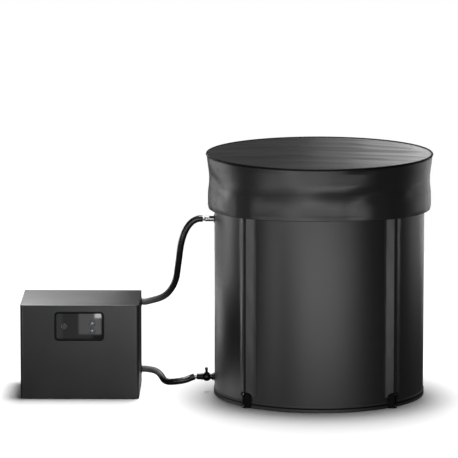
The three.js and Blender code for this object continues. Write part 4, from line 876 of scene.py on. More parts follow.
def hemTape():
    # The tape's section turned round the tub, its outside swelling by pucker * sin(puckers * angle)
    outer, top = span("bottom_hem", 0)[1], span("bottom_hem", 2)[1]
    groove, depth = hemSet["grooveHeight"], hemSet["grooveDepth"]
    edge, soften = hemSet["edgeRound"], hemSet["soften"]
    slope = hemSet["grooveSlope"] * depth
    profile = [(onTub, 0.0), (outer - edge, 0.0), (outer, edge), (outer, groove - slope),
               (outer - depth, groove), (outer, groove + slope), (outer, top - edge), (outer - edge, top),
               (onTub, top)]
    profile = roundedProfile(profile, soften, 3)
    angle = roundRow(hemSet["sides"])
    swell = hemSet["pucker"] * np.sin(hemSet["puckers"] * angle) * (profile[:, :1] > onTub + soften)
    hem = gridPiece("hemTape", roundTub(profile[:, :1] - swell, profile[:, 1:], angle), wrapRows=True,
                    sharp=60.0)
    keepPiece(hem, "binding", nodes=["bottom_hem"])
    # A very dark, barely shiny strip over the groove: painted shade for its crease
    half = hemSet["shadeStripHeight"] / 2.0
    profile = tubeProfile(outer - hemSet["shadeStripSeat"], outer + hemSet["shadeStripLift"], groove - half,
                          groove + half)
    shadeStrip = turnedPiece("hemWelt", profile, sides=hemSet["shadeStripSides"], soften=hemSet["shadeStripSoften"], sharp=60.0)
    keepPiece(shadeStrip, "foot")
    angles = roundRow(int(turn * outer / hemSet["stitchPitch"]))[0]
    stitches = stitchRing("hemStitches", outer + stitchSet["lift"], hemSet["stitchHeight"], angles)
    keepPiece(stitches, "thread")


hemTape()


# Pole sleeves, poles and feet
poleSet = {"angles": (-43.0, 43.0, 137.0, -137.0), "wall": 0.0012, "soften": 0.0004, "sides": 48,
           "plugDepth": 0.012, "plugRim": 0.0005, "plugCrown": 0.0016, "plugTop": 0.0018}
sleeveSet = {"halfWidth": 0.043, "thickness": 0.0012, "round": 0.0108, "margin": 0.005, "rows": 90,
             "columns": 87, "ripple": 0.0003, "topHem": 0.018, "hemLift": 0.0005, "stitchIn": 0.0028,
             "stitchPitch": 0.008, "skirtRound": 0.02, "skirtFlat": 0.006, "skirtDrop": 0.9,
             "easing": 0.0095, "easedFoot": 0.0026, "shadeStripAt": 0.0062, "shadeStripWidth": 0.0056,
             "shadeStripLift": 0.0007, "crowding": 1.15, "outside": 0.3}
footSet = {"halfWidth": 0.022, "wall": 0.0028, "shoulder": 0.016, "edgeRound": 0.0016, "rows": 44,
           "columns": 48, "stand": 0.0012, "knob": 0.003, "knobStand": 0.0013, "knobInset": 0.007,
           "knobSides": 28}
poleRadius = halfSize("pole_1", 1)
poleDistance = math.hypot(*middle("pole_1")[:2])
sleeveReach = poleDistance + sleeveSet["round"]


def tentHeight(across, halfWidth, round, centre, eased=0.0):
    # How far a cloth stands off over a pole: a straight flank up to where it touches the round top.
    # The flank runs from (halfWidth, 0) and is tangent to a circle about (0, centre). Eased: the
    # height over which the flank curves out into the wall.
    away = math.hypot(halfWidth, centre)
    tangent = math.atan2(-centre, halfWidth) + math.acos(round / away)
    touch, touchHeight = round * math.cos(tangent), centre + round * math.sin(tangent)
    across = np.abs(across)
    flank = touchHeight * (halfWidth - across) / (halfWidth - touch)
    top = centre + np.sqrt(np.maximum(round ** 2 - across ** 2, 0.0))
    return np.where(across < touch, top, (flank + np.sqrt(flank ** 2 + eased ** 2)) / 2.0)


def standRound(across, out, height, station, base):
    # Bends a flat strip round the tub and turns it to a pole's place
    return roundTub(base + out, height, across / base + station)


def sleeveOut(across, height, index):
    # The eased tent, brought down to the wall along its margins, with slack ripples on the flanks
    half = sleeveSet["halfWidth"]
    share = np.abs(across) / half
    tent = tentHeight(across, half - sleeveSet["easing"], sleeveSet["round"], poleDistance - onTub,
                      sleeveSet["easedFoot"])
    slack = sleeveSet["ripple"] * smoothStep(1.0, 0.65, share) * smoothStep(0.15, 0.5, share)
    ripple = np.sin(31.0 * height + 5.0 * across / half + index) + 0.6 * np.sin(67.0 * height + 2.0 * index)
    return tent * smoothStep(0.0, sleeveSet["margin"], half - np.abs(across)) + slack * ripple


def poleSleeve(index):
    # The tent from its round foot to the hem at its top, as thick as the cloth, with stitched margins
    node = "pole_sleeve_%d" % (index + 1)
    station, outside = math.radians(poleSet["angles"][index]), sleeveSet["outside"] * sleeveSet["thickness"]
    half, skirt = sleeveSet["halfWidth"], sleeveSet["skirtRound"]
    foot, top = span(node, 2)
    share = np.linspace(-1.0, 1.0, sleeveSet["columns"])[None, :]
    across = half * np.sign(share) * np.abs(share) ** sleeveSet["crowding"]
    beyond = np.maximum(np.abs(across) - sleeveSet["skirtFlat"], 0.0)
    rise = skirt - np.sqrt(np.maximum(skirt ** 2 - sleeveSet["skirtDrop"] * beyond ** 2, 0.0))
    bottom = foot - sleeveSet["skirtDrop"] * rise
    height = bottom + (top - bottom) * np.linspace(0.0, 1.0, sleeveSet["rows"])[:, None]
    hemEdge = top - sleeveSet["topHem"]
    hem = sleeveSet["hemLift"] * smoothStep(hemEdge - 0.001, hemEdge, height)
    out = sleeveOut(across, height, index) + outside
    outer = standRound(across, out + hem, height, station, onTub)
    inner = standRound(across, np.maximum(out - sleeveSet["thickness"], 0.0), height, station, onTub)
    sleeve = stripPiece("poleSleeve_%d" % (index + 1), outer, inner, 70.0)
    keepPiece(sleeve, "tub", nodes=[node])
    # The dark strip beside the ridge is painted shade for the crease there
    sleeveShadeStrip(index, station, foot, top)
    heights = np.tile(np.arange(foot + 0.012, top - 0.004, sleeveSet["stitchPitch"]), 2)
    edge = np.repeat([sleeveSet["stitchIn"] - half, half - sleeveSet["stitchIn"]], len(heights) // 2)
    places = standRound(edge, sleeveOut(edge, heights, index) + outside, heights, station, onTub)
    outward = places * (1.0, 1.0, 0.0)
    outward /= np.linalg.norm(outward, axis=1, keepdims=True)
    upward = np.broadcast_to((0.0, 0.0, 1.0), places.shape)
    stitches = stitchPiece("sleeveStitches_%d" % (index + 1), places, upward, outward)
    keepPiece(stitches, "thread")


def sleeveShadeStrip(index, station, foot, top):
    # A flat dark strip along the ridge, on the side that faces the front or the back: painted shade for the
    # crease beside the pole
    side = 1.0 if math.sin(2.0 * station) < 0.0 else -1.0
    heights = np.linspace(foot + 0.001, top - 0.001, 60)[:, None]
    share = np.linspace(-1.0, 1.0, 13)[None, :]
    across = side * (sleeveSet["shadeStripAt"] + sleeveSet["shadeStripWidth"] / 2.0 * share)
    out = sleeveOut(across, heights, index) + sleeveSet["outside"] * sleeveSet["thickness"]
    lift = sleeveSet["shadeStripLift"] * np.sqrt(np.maximum(1.0 - share ** 4, 0.04))
    over = standRound(across, out + lift, heights, station, onTub)
    under = standRound(across, out - 0.0002, heights, station, onTub)
    keepPiece(stripPiece("sleeveWelt_%d" % (index + 1), over, under, 60.0), "piping")


def polePiece(index):
    # A tube with a plug in its top end
    node = "pole_%d" % (index + 1)
    bottom, top = span(node, 2)
    centre, bore = (*middle(node)[:2], 0.0), poleRadius - poleSet["wall"]
    shape = {"centre": centre, "sides": poleSet["sides"], "soften": poleSet["soften"]}
    pole = turnedPiece("tentPole_%d" % (index + 1), tubeProfile(bore, poleRadius, bottom, top), **shape)
    keepPiece(pole, "pole", nodes=[node], worn=True)
    foot, neck, rim = top - poleSet["plugDepth"], bore - 0.0001, top + poleSet["plugRim"]
    profile = [(0.0, foot), (neck, foot), (neck, rim), (poleRadius, rim),
               (poleRadius * 0.9, top + poleSet["plugCrown"]), (0.0, top + poleSet["plugTop"])]
    keepPiece(turnedPiece("poleCap_%d" % (index + 1), profile, hollow=False, **shape), "plastic")


def poleFoot(index):
    # Level sections from the floor up: a tent over the pole with round shoulders and a flat back
    node = "pole_foot_%d" % (index + 1)
    base = span("bottom_hem", 0)[1] + footSet["stand"]
    station, top = math.radians(poleSet["angles"][index]), span(node, 2)[1]
    half, shoulder, edge = footSet["halfWidth"], footSet["shoulder"], footSet["edgeRound"]
    arcs = np.linspace(0.0, quarter, footSet["rows"])
    level = np.concatenate([edge * (1.0 - np.cos(quarterArc(5)[:-1, 0])),
                            np.linspace(edge, top - shoulder, 8)[:-1],
                            top - shoulder + shoulder * np.sin(arcs)])[:, None]
    low = drawnIn(edge, edge - level)
    width = half - drawnIn(shoulder, level - top + shoulder) - low
    across = width * np.linspace(-1.0, 1.0, footSet["columns"])[None, :]
    tent = [half, poleRadius + seatGap + footSet["wall"], poleDistance - base]
    rounded = drawnIn(edge, edge - width + np.abs(across)) + low + drawnIn(edge, level - top + edge)
    outer = standRound(across, np.maximum(tentHeight(across, *tent) - rounded, 0.0004), level, station, base)
    back = standRound(across, 0.0, level, station, base)
    foot = stripPiece("poleFoot_%d" % (index + 1), outer, back, 50.0)
    keepMoulded(foot, node, finish="foot")
    ridge = base + float(tentHeight(np.array([0.0]), *tent)[0])
    knob, stand = footSet["knob"], footSet["knobStand"]
    profile = [(0.0, -0.001), (knob, -0.001), (knob, stand * 0.4), (knob * 0.75, stand), (0.0, stand * 0.8)]
    profile = roundedProfile(profile, 0.0005, 3, closed=False)
    for place, height in (("low", footSet["knobInset"]), ("high", top - footSet["knobInset"])):
        x, y, z = np.moveaxis(turnedGrid(profile, "y", footSet["knobSides"], (0.0, 0.0, height)), -1, 0)
        out = y + ridge
        turned = np.stack([x * math.cos(station) + out * math.sin(station),
                           x * math.sin(station) - out * math.cos(station), z], axis=-1)
        keepPiece(gridPiece("footStud_%d_%s" % (index + 1, place), turned), "screw",
                  worn=True)


for number in range(4):
    poleSleeve(number)
    polePiece(number)
    poleFoot(number)
print("wall, sleeves and feet made")


# Air ring under the lid, with its valve
ringSet = {"inset": 0.0003, "outer": 0.0002, "pucker": 0.0006, "puckers": 90, "sides": 288, "around": 40,
           "seamWidth": 0.03}
airValveSet = {"flangeBack": 0.0094, "flange": 0.0015, "bore": 0.0035, "neck": 0.006, "shank": 0.008,
               "sides": 48, "capSides": 96, "capBore": 0.0064, "capWall": 0.0025, "capRound": 0.001,
               "grips": 24, "grip": 0.0004}


def airRing():
    # A ring whose inner side puckers by pucker * (1 + sin(puckers * angle)) / 2, with a seam along it
    tube = halfSize("air_ring", 2) - ringSet["inset"]
    angle, round = roundRow(ringSet["sides"]), roundRow(ringSet["around"]).T
    inward = smoothStep(0.2, -1.0, np.cos(round))
    radius = tube - ringSet["pucker"] * inward * (0.5 + 0.5 * np.sin(ringSet["puckers"] * angle))
    centre, level = span("air_ring", 0)[1] - tube - ringSet["outer"], middle("air_ring")[2]
    grid = roundTub(centre + radius * np.cos(round), level + radius * np.sin(round), angle)
    ring = gridPiece("airRing", grid, wrapRows=True, sharp=80.0)
    seam = np.exp(-((round - math.pi) / ringSet["seamWidth"]) ** 2)
    storeMask(ring, "seam", np.broadcast_to(seam, grid.shape[:2]).ravel())
    keepPiece(ring, "liner", nodes=["air_ring"])


def airValve():
    # A flanged tube through the ring, and a cap whose edge draws in by grip * (1 - sin(grips * angle))
    centre, flange = (0.0, 0.0, middle("air_valve")[2]), halfSize("air_valve", 2)
    front, back = span("air_valve", 1)
    bore, neck, shank = (airValveSet[key] for key in ("bore", "neck", "shank"))
    flangeBack = back - airValveSet["flangeBack"]
    flangeFront = flangeBack - airValveSet["flange"]
    profile = [(bore, front), (neck, front), (neck, flangeFront), (flange, flangeFront), (flange, flangeBack),
               (shank, flangeBack), (shank, back), (bore, back)]
    keepMoulded(turnedPiece("airValve", profile, "y", centre, airValveSet["sides"]), "air_valve")
    radius, bore = halfSize("air_valve_cap", 2), airValveSet["capBore"]
    front, back = span("air_valve_cap", 1)
    inside = front + airValveSet["capWall"]
    profile = roundedProfile([(0.0, front), (radius, front), (radius, back), (bore, back), (bore, inside),
                              (0.0, inside)], airValveSet["capRound"], closed=False)
    angle = roundRow(airValveSet["capSides"])
    atEdge = profile[:, :1] > radius - 0.0002
    grip = airValveSet["grip"] * (np.sin(airValveSet["grips"] * angle) - 1.0) * atEdge
    wider = 1.0 + grip / np.maximum(profile[:, :1], 0.001)
    grid = turnedGrid(profile, "y", airValveSet["capSides"])
    grid *= np.stack([wider, np.ones_like(wider), wider], axis=-1)
    keepMoulded(gridPiece("airCap", grid + centre), "air_valve_cap", "air_cap")


airRing()
airValve()


# Lid: cloth top, piping, foam, lining and skirt
lidRadius = span("lid_piping", 0)[1]
lidTopHeight = span("lid_piping", 2)[1]
lidSet = {"thickness": 0.0012, "rest": 0.0009, "sides": 360, "rows": 120, "pucker": 0.00025, "puckers": 64,
          "foldGain": 1.35, "puff": 0.0016, "dent": 0.0003, "padSides": 144, "padRound": 0.004,
          "liningRound": 0.0005}
# Folds in the top: start and end (x, y), width and height, in metres
lidFolds = [
    (-0.36, 0.1, -0.16, 0.16, 0.026, 0.0013), (-0.3, 0.0, -0.06, 0.06, 0.024, -0.0012),
    (-0.32, -0.1, -0.06, -0.06, 0.026, 0.0012), (-0.2, -0.2, 0.08, -0.24, 0.028, 0.001),
    (-0.1, 0.26, 0.12, 0.23, 0.026, 0.0012), (-0.06, 0.14, 0.14, 0.12, 0.024, 0.0015),
    (0.02, 0.05, 0.28, 0.0, 0.022, -0.0013), (0.0, -0.1, 0.2, -0.13, 0.024, 0.001),
    (0.16, 0.2, 0.32, 0.12, 0.022, 0.0014), (0.18, 0.08, 0.36, 0.04, 0.022, 0.0013),
    (0.16, -0.05, 0.36, -0.09, 0.024, 0.0012), (0.16, -0.17, 0.32, -0.21, 0.024, -0.001),
    (-0.22, 0.28, -0.08, 0.31, 0.022, -0.0008), (0.1, 0.31, 0.24, 0.28, 0.022, -0.001),
]


def lidTop():
    # Rings from the middle out and back under: the rest height, the folds, no deeper than the dent and
    # fading at the rim, and small puckers near the seam
    angle, share = roundRow(lidSet["sides"]), np.linspace(0.0, 1.0, lidSet["rows"])[:, None]
    rim = span("lid_panel", 0)[1]
    radius = rim * share
    x, y = radius * np.sin(angle), -radius * np.cos(angle)
    pucker = lidSet["pucker"] * np.sin(lidSet["puckers"] * angle) * smoothStep(0.82, 0.97, share)
    folds = np.maximum(lidSet["foldGain"] * foldField(x, y, lidFolds) + lidSet["puff"], -lidSet["dent"])
    height = lidTopHeight - lidSet["rest"] + folds * smoothStep(1.0, 0.86, share) + pucker
    below = np.concatenate([height[::-8], np.full_like(height[:1], height[:1].mean())]) - lidSet["thickness"]
    grid = np.concatenate([roundTub(radius, height, angle),
                           roundTub(np.concatenate([radius[::-8], [[0.0]]]), below, angle)])
    # Cloth coordinates of a flat disc are its own x and y
    cloth = np.concatenate([grid, grid[:, :1]], axis=1)[..., :2]
    lid = gridPiece("lidTop", grid, sharp=60.0, cloth=cloth)
    keepPiece(lid, "lid", "lid", nodes=["lid_panel"])


pipingSet = {"radius": 0.0044, "inset": 0.0025, "around": 24, "sides": 480, "twist": 0.00008, "twists": 150}


def lidPiping():
    # A covered cord round the edge, with a trace of twist: radius + twist * sin(twists * angle + 2 * round)
    inset, angle, round = pipingSet["inset"], roundRow(pipingSet["sides"]), roundRow(pipingSet["around"]).T
    swell = pipingSet["radius"] + pipingSet["twist"] * np.sin(pipingSet["twists"] * angle + 2.0 * round)
    grid = roundTub(lidRadius - inset + swell * np.cos(round), lidTopHeight - inset + swell * np.sin(round),
                    angle)
    keepPiece(gridPiece("lidPiping", grid, wrapRows=True, sharp=80.0), "piping", "lid",
              nodes=["lid_piping"])


def lidDisc(name, node, finish, soften):
    # A round slab as wide and thick as its solid
    disc = turnedPiece(name, rodProfile(span(node, 0)[1], *span(node, 2)), sides=lidSet["padSides"],
                       soften=soften, hollow=False)
    return keepPiece(disc, finish, "lid", nodes=[node])


def lidPads():
    # The foam, and the lining below it
    lidDisc("lidPad", "lid_foam", "foam", lidSet["padRound"])
    lining = lidDisc("lidLining", "lid_lining", "liner", lidSet["liningRound"])


skirtSet = {"thickness": 0.0018, "drop": 0.185, "tuckSag": 0.36, "cornerRise": 0.0085, "sideDip": 0.01,
            "waist": 0.0095, "poleClear": 0.0016, "bulgeHalf": 16.0, "bulgeGain": 1.25, "sides": 480,
            "rows": 96, "hem": 0.016, "hemProud": 0.0002, "hemEdge": 0.0012, "hemTone": 0.15,
            "seamAngles": (-78.0, 73.0), "seamWidth": 0.0022, "seamDepth": 0.0013, "seamTone": 0.9,
            "stitchPitch": 0.008, "stitchAbove": 0.003}
# The skirt's side view: shares of the drop, and how far in, as shares of the waist's depth
skirtOutline = [(0.0, 0.1), (0.12, 0.35), (0.26, 0.72), (0.41, 1.0), (0.55, 0.92), (0.7, 0.62), (0.84, 0.56),
                (0.94, 0.62), (1.0, 0.82)]
# The same over the front, where the cloth hangs plumb to a tuck
tuckOutline = [(0.0, 0.1), (0.2, 0.14), (0.34, 0.2), (0.43, 0.42), (0.52, 0.74), (0.61, 1.0), (0.71, 1.12),
               (0.81, 1.1), (0.92, 1.0), (1.0, 0.98)]
# To the right of the tuck the cloth leans in further, in a soft hollow
hollowOutline = [(0.0, 0.1), (0.2, 0.08), (0.34, 0.14), (0.42, 0.42), (0.5, 0.95), (0.58, 1.45), (0.66, 1.78),
                 (0.75, 1.98), (0.85, 2.08), (0.93, 2.1), (1.0, 2.08)]
# Where each outline holds, in degrees from the front: it starts, is full, is still full and ends
tuckReach = (-62.0, -40.0, -10.0, 8.0)
hollowReach = (-10.0, 8.0, 13.0, 29.0)
cornerReach = (8.0, 26.0, 27.0, 37.0)
# Folds in the skirt: start and end (degrees from the front, height), width and depth, in degrees and metres
skirtFolds = [
    (-34.0, 0.846, -20.0, 0.842, 5.0, 0.0008),
    (-78.0, 0.8, -62.0, 0.752, 3.6, -0.0022), (-74.0, 0.836, -60.0, 0.8, 3.6, 0.0014),
    (46.0, 0.76, 66.0, 0.784, 3.8, -0.0014),
    (100.0, 0.776, 128.0, 0.76, 3.6, -0.0022), (150.0, 0.768, 176.0, 0.784, 3.6, -0.0022),
    (-176.0, 0.786, -150.0, 0.756, 3.4, -0.0026), (-128.0, 0.765, -98.0, 0.778, 3.6, -0.0018),
]
foldScale = math.degrees(1.0 / lidRadius)      # degrees round the skirt to a metre


def angleTo(degrees, places):
    # How far each angle is from the nearest of the places, round the shorter way
    return np.min([np.abs((degrees - place + 180.0) % 360.0 - 180.0) for place in places], axis=0)


def poleBulge(degrees):
    # 1 beside a pole, fading to 0: gain * cos(quarter turn * distance / half width)^2, 1 at the most
    share = np.minimum(1.0, angleTo(degrees, poleSet["angles"]) / skirtSet["bulgeHalf"])
    return np.minimum(1.0, skirtSet["bulgeGain"] * np.cos(share * quarter) ** 2)


def skirtSeam(degrees):
    # 1 along each side seam: exp(-(distance / width)^2)
    return np.exp(-(angleTo(degrees, skirtSet["seamAngles"]) / foldScale / skirtSet["seamWidth"]) ** 2)


def within(value, start, full, last, end):
    # Rises from 0 at the start to 1, and falls from 1 to 0 at the end
    return smoothStep(start, full, value) * smoothStep(end, last, value)


def smoothOutline(down, outline):
    # A smooth curve through the outline's points: cubic, with slopes from the neighbours
    places, values = np.array(outline).T
    slopes = np.gradient(values, places)
    index = np.clip(np.searchsorted(places, down, side="right") - 1, 0, len(places) - 2)
    step = places[index + 1] - places[index]
    t = (down - places[index]) / step
    return ((2 * t ** 3 - 3 * t ** 2 + 1) * values[index] + (t ** 3 - 2 * t ** 2 + t) * step * slopes[index]
            + (3 * t ** 2 - 2 * t ** 3) * values[index + 1] + (t ** 3 - t ** 2) * step * slopes[index + 1])


def skirtRadius(degrees, down, height):
    # Outline, folds and side seams, held out past the sleeves. Down: the share of the drop.
    tuck, hollow = within(degrees, *tuckReach), within(degrees, *hollowReach)
    corner = (skirtSet["cornerRise"] * within(degrees, *cornerReach)
              * smoothStep(0.0, 0.09, down) * smoothStep(0.52, 0.3, down))
    sag = skirtSet["tuckSag"] * (1.0 - np.cos(np.radians(degrees))) * down * (1.0 - down) * 4.0
    sagged = np.clip(down - sag, 0.0, 1.0)
    plain = smoothOutline(down, skirtOutline) * (1.0 - tuck - hollow)
    inward = plain + smoothOutline(sagged, tuckOutline) * tuck + smoothOutline(sagged, hollowOutline) * hollow
    scaled = np.array(skirtFolds) * (1.0, foldScale, 1.0, foldScale, 1.0, 1.0)
    folds = sum(foldField(degrees + shift, height * foldScale, scaled) for shift in (-360.0, 0.0, 360.0))
    calm = smoothStep(0.0, 0.1, down) * smoothStep(1.02, 0.9, down)
    radius = (lidRadius - skirtSet["waist"] * inward + folds * calm + corner
              - skirtSet["seamDepth"] * skirtSeam(degrees) * smoothStep(0.0, 0.05, down))
    clear = sleeveReach + skirtSet["poleClear"] + skirtSet["thickness"]
    return radius + poleBulge(degrees) * smoothStep(0.4, 0.62, down) * np.maximum(0.0, clear - radius)


def skirtFall(degrees):
    # How far the skirt hangs: its drop, and a dip of sin(angle)^2 at the sides
    hemHeight = lidTopHeight - skirtSet["drop"] - skirtSet["sideDip"] * np.sin(np.radians(degrees)) ** 2
    return span("lid_skirt", 2)[1] - hemHeight


def lidSkirt():
    # Outside, hem edge and inside, all round, with the seams and the hem's edge as a mask
    degrees = np.degrees(roundRow(skirtSet["sides"])) - 180.0
    down = np.linspace(0.0, 1.0, skirtSet["rows"])[:, None]
    angle, fall = np.radians(degrees), skirtFall(degrees)
    top, thick = span("lid_skirt", 2)[1], skirtSet["thickness"]
    height = top - fall * down
    radius = skirtRadius(degrees, down, height)
    aboveHem = (down - 1.0) * fall + skirtSet["hem"]
    proud = radius + skirtSet["hemProud"] * smoothStep(0.0, skirtSet["hemEdge"], aboveHem)
    grid = [roundTub(proud, height, angle), roundTub(proud[-1:] - thick / 2.0, height[-1:] - 0.0006, angle),
            roundTub(radius[::-3] - thick, height[::-3], angle)]
    skirt = gridPiece("lidSkirt", np.concatenate(grid), wrapRows=True, sharp=70.0)
    step = np.exp(-(aboveHem / skirtSet["hemEdge"]) ** 2) * skirtSet["hemTone"]
    mask = np.clip(skirtSeam(degrees) * skirtSet["seamTone"] + step, 0.0, 1.0)
    storeMask(skirt, "seam", np.concatenate([mask, mask[-1:], mask[::-3]]).ravel())
    keepPiece(skirt, "skirt", "lid", nodes=["lid_skirt"])
    degrees = np.degrees(roundRow(int(turn * lidRadius / skirtSet["stitchPitch"]))[0]) - 180.0
    angle, fall = np.radians(degrees), skirtFall(degrees)
    down = 1.0 - (skirtSet["hem"] - skirtSet["stitchAbove"]) / fall
    around = skirtRadius(degrees, down, top - fall * down) + skirtSet["hemProud"] + stitchSet["lift"]
    stitches = stitchRing("skirtStitches", around, top - fall * down, angle)
    keepPiece(stitches, "thread", "lid")


lidPads()
lidTop()
lidPiping()
lidSkirt()
print("lid made")


# Fittings through the wall
fittingSet = {"bore": 0.0065, "neck": 0.0075, "pipe": 0.0095, "reach": 0.034, "nutSides": 96,
              "nutRound": 0.0008, "ringGroove": 0.93, "ringStart": 0.0016, "ringFloor": 0.001,
              "shoulder": 0.0018}


def wallSeal(prefix, pipe):
    # A flanged grommet outside the wall and a hexagonal nut inside it, both round the pipe
    grommet, nut = prefix + "_grommet", prefix + "_nut"
    centre, bore = (0.0, 0.0, middle(grommet)[2]), pipe + seatGap
    outside, inside = span(grommet, 0)
    seat, sleeve = outside + grommetSet["flange"], grommetSet["sleeve"][grommet] - seatGap
    flange = halfSize(grommet, 2)
    profile = [(bore, outside), (flange, outside), (flange, seat), (sleeve, seat), (sleeve, inside),
               (bore, inside)]
    keepPiece(turnedPiece(prefix + "Grommet", profile, "x", centre, 64, grommetSet["flangeRound"]), "rubber",
              nodes=[grommet], worn=True)
    width, sides = halfSize(nut, 2), fittingSet["nutSides"]
    sixth = math.pi / 6.0
    hexagon = math.cos(sixth) / np.cos((roundRow(sides) + sixth) % (2.0 * sixth) - sixth)
    profile = roundedProfile(tubeProfile(bore, width, *span(nut, 0)), fittingSet["nutRound"], 3)
    outward, inBore = (profile[:, :1] - bore) / (width - bore), np.minimum(1.0, profile[:, :1] / bore)
    grid = turnedGrid(profile, "x", sides)
    grid[..., 1:] *= (1.0 + outward * (hexagon - 1.0) * inBore)[..., None]
    keepMoulded(gridPiece(prefix + "Nut", grid + centre, wrapRows=True), nut)


def returnPipe():
    # A pipe through the wall that narrows to a ringed neck for the hose
    end, inner = span("return_pipe", 0)
    shoulder, centre = -tubRadius - fittingSet["reach"], (0.0, 0.0, middle("return_pipe")[2])
    bore, neck, pipe = fittingSet["bore"], fittingSet["neck"], fittingSet["pipe"]
    groove, start, floor = fittingSet["ringGroove"], fittingSet["ringStart"], fittingSet["ringFloor"]
    profile = [(bore, end), (neck, end), (neck, shoulder - start), (neck * groove, shoulder - floor),
               (neck, shoulder), (pipe, shoulder + fittingSet["shoulder"]), (pipe, inner), (bore, inner)]
    keepPiece(turnedPiece("returnPipe", profile, "x", centre, 72, 0.0006), "stainless",
              nodes=["return_pipe"], worn=True)


# The valve's radii, and its places along the pipe from the middle of the ball or from the wall
valveSet = {"chamber": 0.0163, "barrel": 0.011, "pipe": 0.01, "waist": 0.0102, "collar": 0.0128,
            "ring": 0.0124, "barb": 0.0079, "barrelFrom": 0.0145, "barrelPast": 0.0077, "chamberEnd": 0.0128,
            "ribs": 41, "ribDepth": 0.0005, "chamberTurn": (40.0, 140.0), "chamberSteps": 16,
            "collarPlaces": (0.0024, 0.0026, 0.0075, 0.0085), "ringWide": 0.003, "lip": 0.002}
# Outlines: the bonnet's (radius, height above the ball) and the barb's (radius, place from its end)
bonnetOutline = [(0.0043, 0.0125), (0.0075, 0.0125), (0.0075, 0.0158), (0.0066, 0.0165), (0.0043, 0.0165)]
barbOutline = [(0.0076, 0.0), (0.0079, 0.0012), (0.0074, 0.003), (0.0079, 0.0034), (0.0074, 0.0056),
               (0.0078, 0.006)]
handleSet = {"waist": 0.0042, "flare": 0.0056, "hub": 0.0065, "length": 0.0135, "corner": 0.003,
             "edge": 0.0012, "rows": 26, "lean": -0.0012, "stem": 0.004, "stemFrom": 0.0103,
             "stemPast": 0.002}


def ballValve():
    # One turned body: inner pipe, wall collar, waist, ball chamber, collar and ribbed barrel
    end, inner = span("valve_body", 0)
    centreX, height = float(middle("valve_ball")[0]), float(middle("valve_ball")[2])
    radii = ("chamber", "barrel", "pipe", "collar", "ring", "barb")
    chamber, barrel, pipe, collar, ring, barb = (valveSet[key] for key in radii)
    bore, waistAt, count = fittingSet["bore"], valveSet["chamberEnd"], valveSet["ribs"]
    barrelStart, barrelEnd = centreX - valveSet["barrelFrom"], end + valveSet["barrelPast"]
    arc = np.linspace(*np.radians(valveSet["chamberTurn"]), valveSet["chamberSteps"])
    steps = np.sign(np.sin(np.arange(count) * math.pi / 4.0 + 0.4))
    ribs = np.column_stack([barrel + valveSet["ribDepth"] * (steps - 1.0),
                            np.linspace(barrelStart - 0.004, barrelEnd + 0.0015, count)])
    near, collarStart, collarEnd, far = (-tubRadius - place for place in valveSet["collarPlaces"])
    mouth = barrelEnd + valveSet["lip"]
    profile = np.concatenate([
        [(bore, inner), (pipe, inner), (pipe, near), (collar, collarStart), (collar, collarEnd),
         (pipe, far), (pipe, centreX + waistAt)],
        np.column_stack([chamber * np.sin(arc), centreX + chamber * np.cos(arc)]),
        [(valveSet["waist"], centreX - waistAt), (ring, barrelStart),
         (ring, barrelStart - valveSet["ringWide"])], ribs,
        [(barrel, barrelEnd), (barb, barrelEnd), (barb, mouth), (bore, mouth)],
    ])
    body = turnedPiece("valveBody", profile, "x", (0.0, 0.0, height), 72, steps=3)
    keepMoulded(body, "valve_body", finish="fitting")
    bonnet = turnedPiece("valveBonnet", bonnetOutline, "z", (centreX, 0.0, height), 48)
    keepPiece(bonnet, "fitting", worn=True)
    ridges, inBarrel = [(radius, end + along) for radius, along in barbOutline], barrelEnd + 0.0018
    profile = [(bore, end), *ridges, (barbOutline[-1][0], inBarrel), (bore, inBarrel)]
    keepPiece(turnedPiece("valveBarb", profile, "x", (0.0, 0.0, height), 64, 0.0003, 3), "stainless",
              worn=True)


def valveHandle():
    # Level rounded rectangles that widen upwards and lean, on a round stem
    centreX, height = float(middle("valve_ball")[0]), float(middle("valve_ball")[2])
    lowest, highest = height + valveSet["chamber"] + seatGap, span("valve_handle", 2)[1]
    share = np.linspace(0.0, 1.0, handleSet["rows"])
    half = handleSet["waist"] + (handleSet["flare"] - handleSet["waist"]) * share ** 1.6
    length = handleSet["hub"] + (handleSet["length"] - handleSet["hub"]) * smoothStep(0.0, 0.45, share)
    drawn = drawnIn(handleSet["edge"], (share - 1.0) * (highest - lowest) + handleSet["edge"])
    loops = []
    for s, h, l in zip(share, half - drawn, length - drawn):
        x, y = planLoop(h, l, min(handleSet["corner"], h - 0.0002), 6).T
        z = np.full(len(x), lowest + (highest - lowest) * s)
        loops.append(np.column_stack([x + centreX + handleSet["lean"] * s ** 2, y, z]))
    handle = gridPiece("valveHandle", np.array(loops), capEnds=True, sharp=40.0)
    keepMoulded(handle, "valve_handle", "valve_turner", "fitting")
    profile = rodProfile(handleSet["stem"], height + handleSet["stemFrom"], lowest + handleSet["stemPast"])
    stem = turnedPiece("valveStem", profile, "z", (centreX, 0.0, 0.0), 32, 0.0003, hollow=False)
    keepPiece(stem, "stainless", "valve_turner")


wallSeal("return", fittingSet["pipe"])
wallSeal("valve", valveSet["pipe"])
returnPipe()
ballValve()
valveHandle()
print("fittings made")


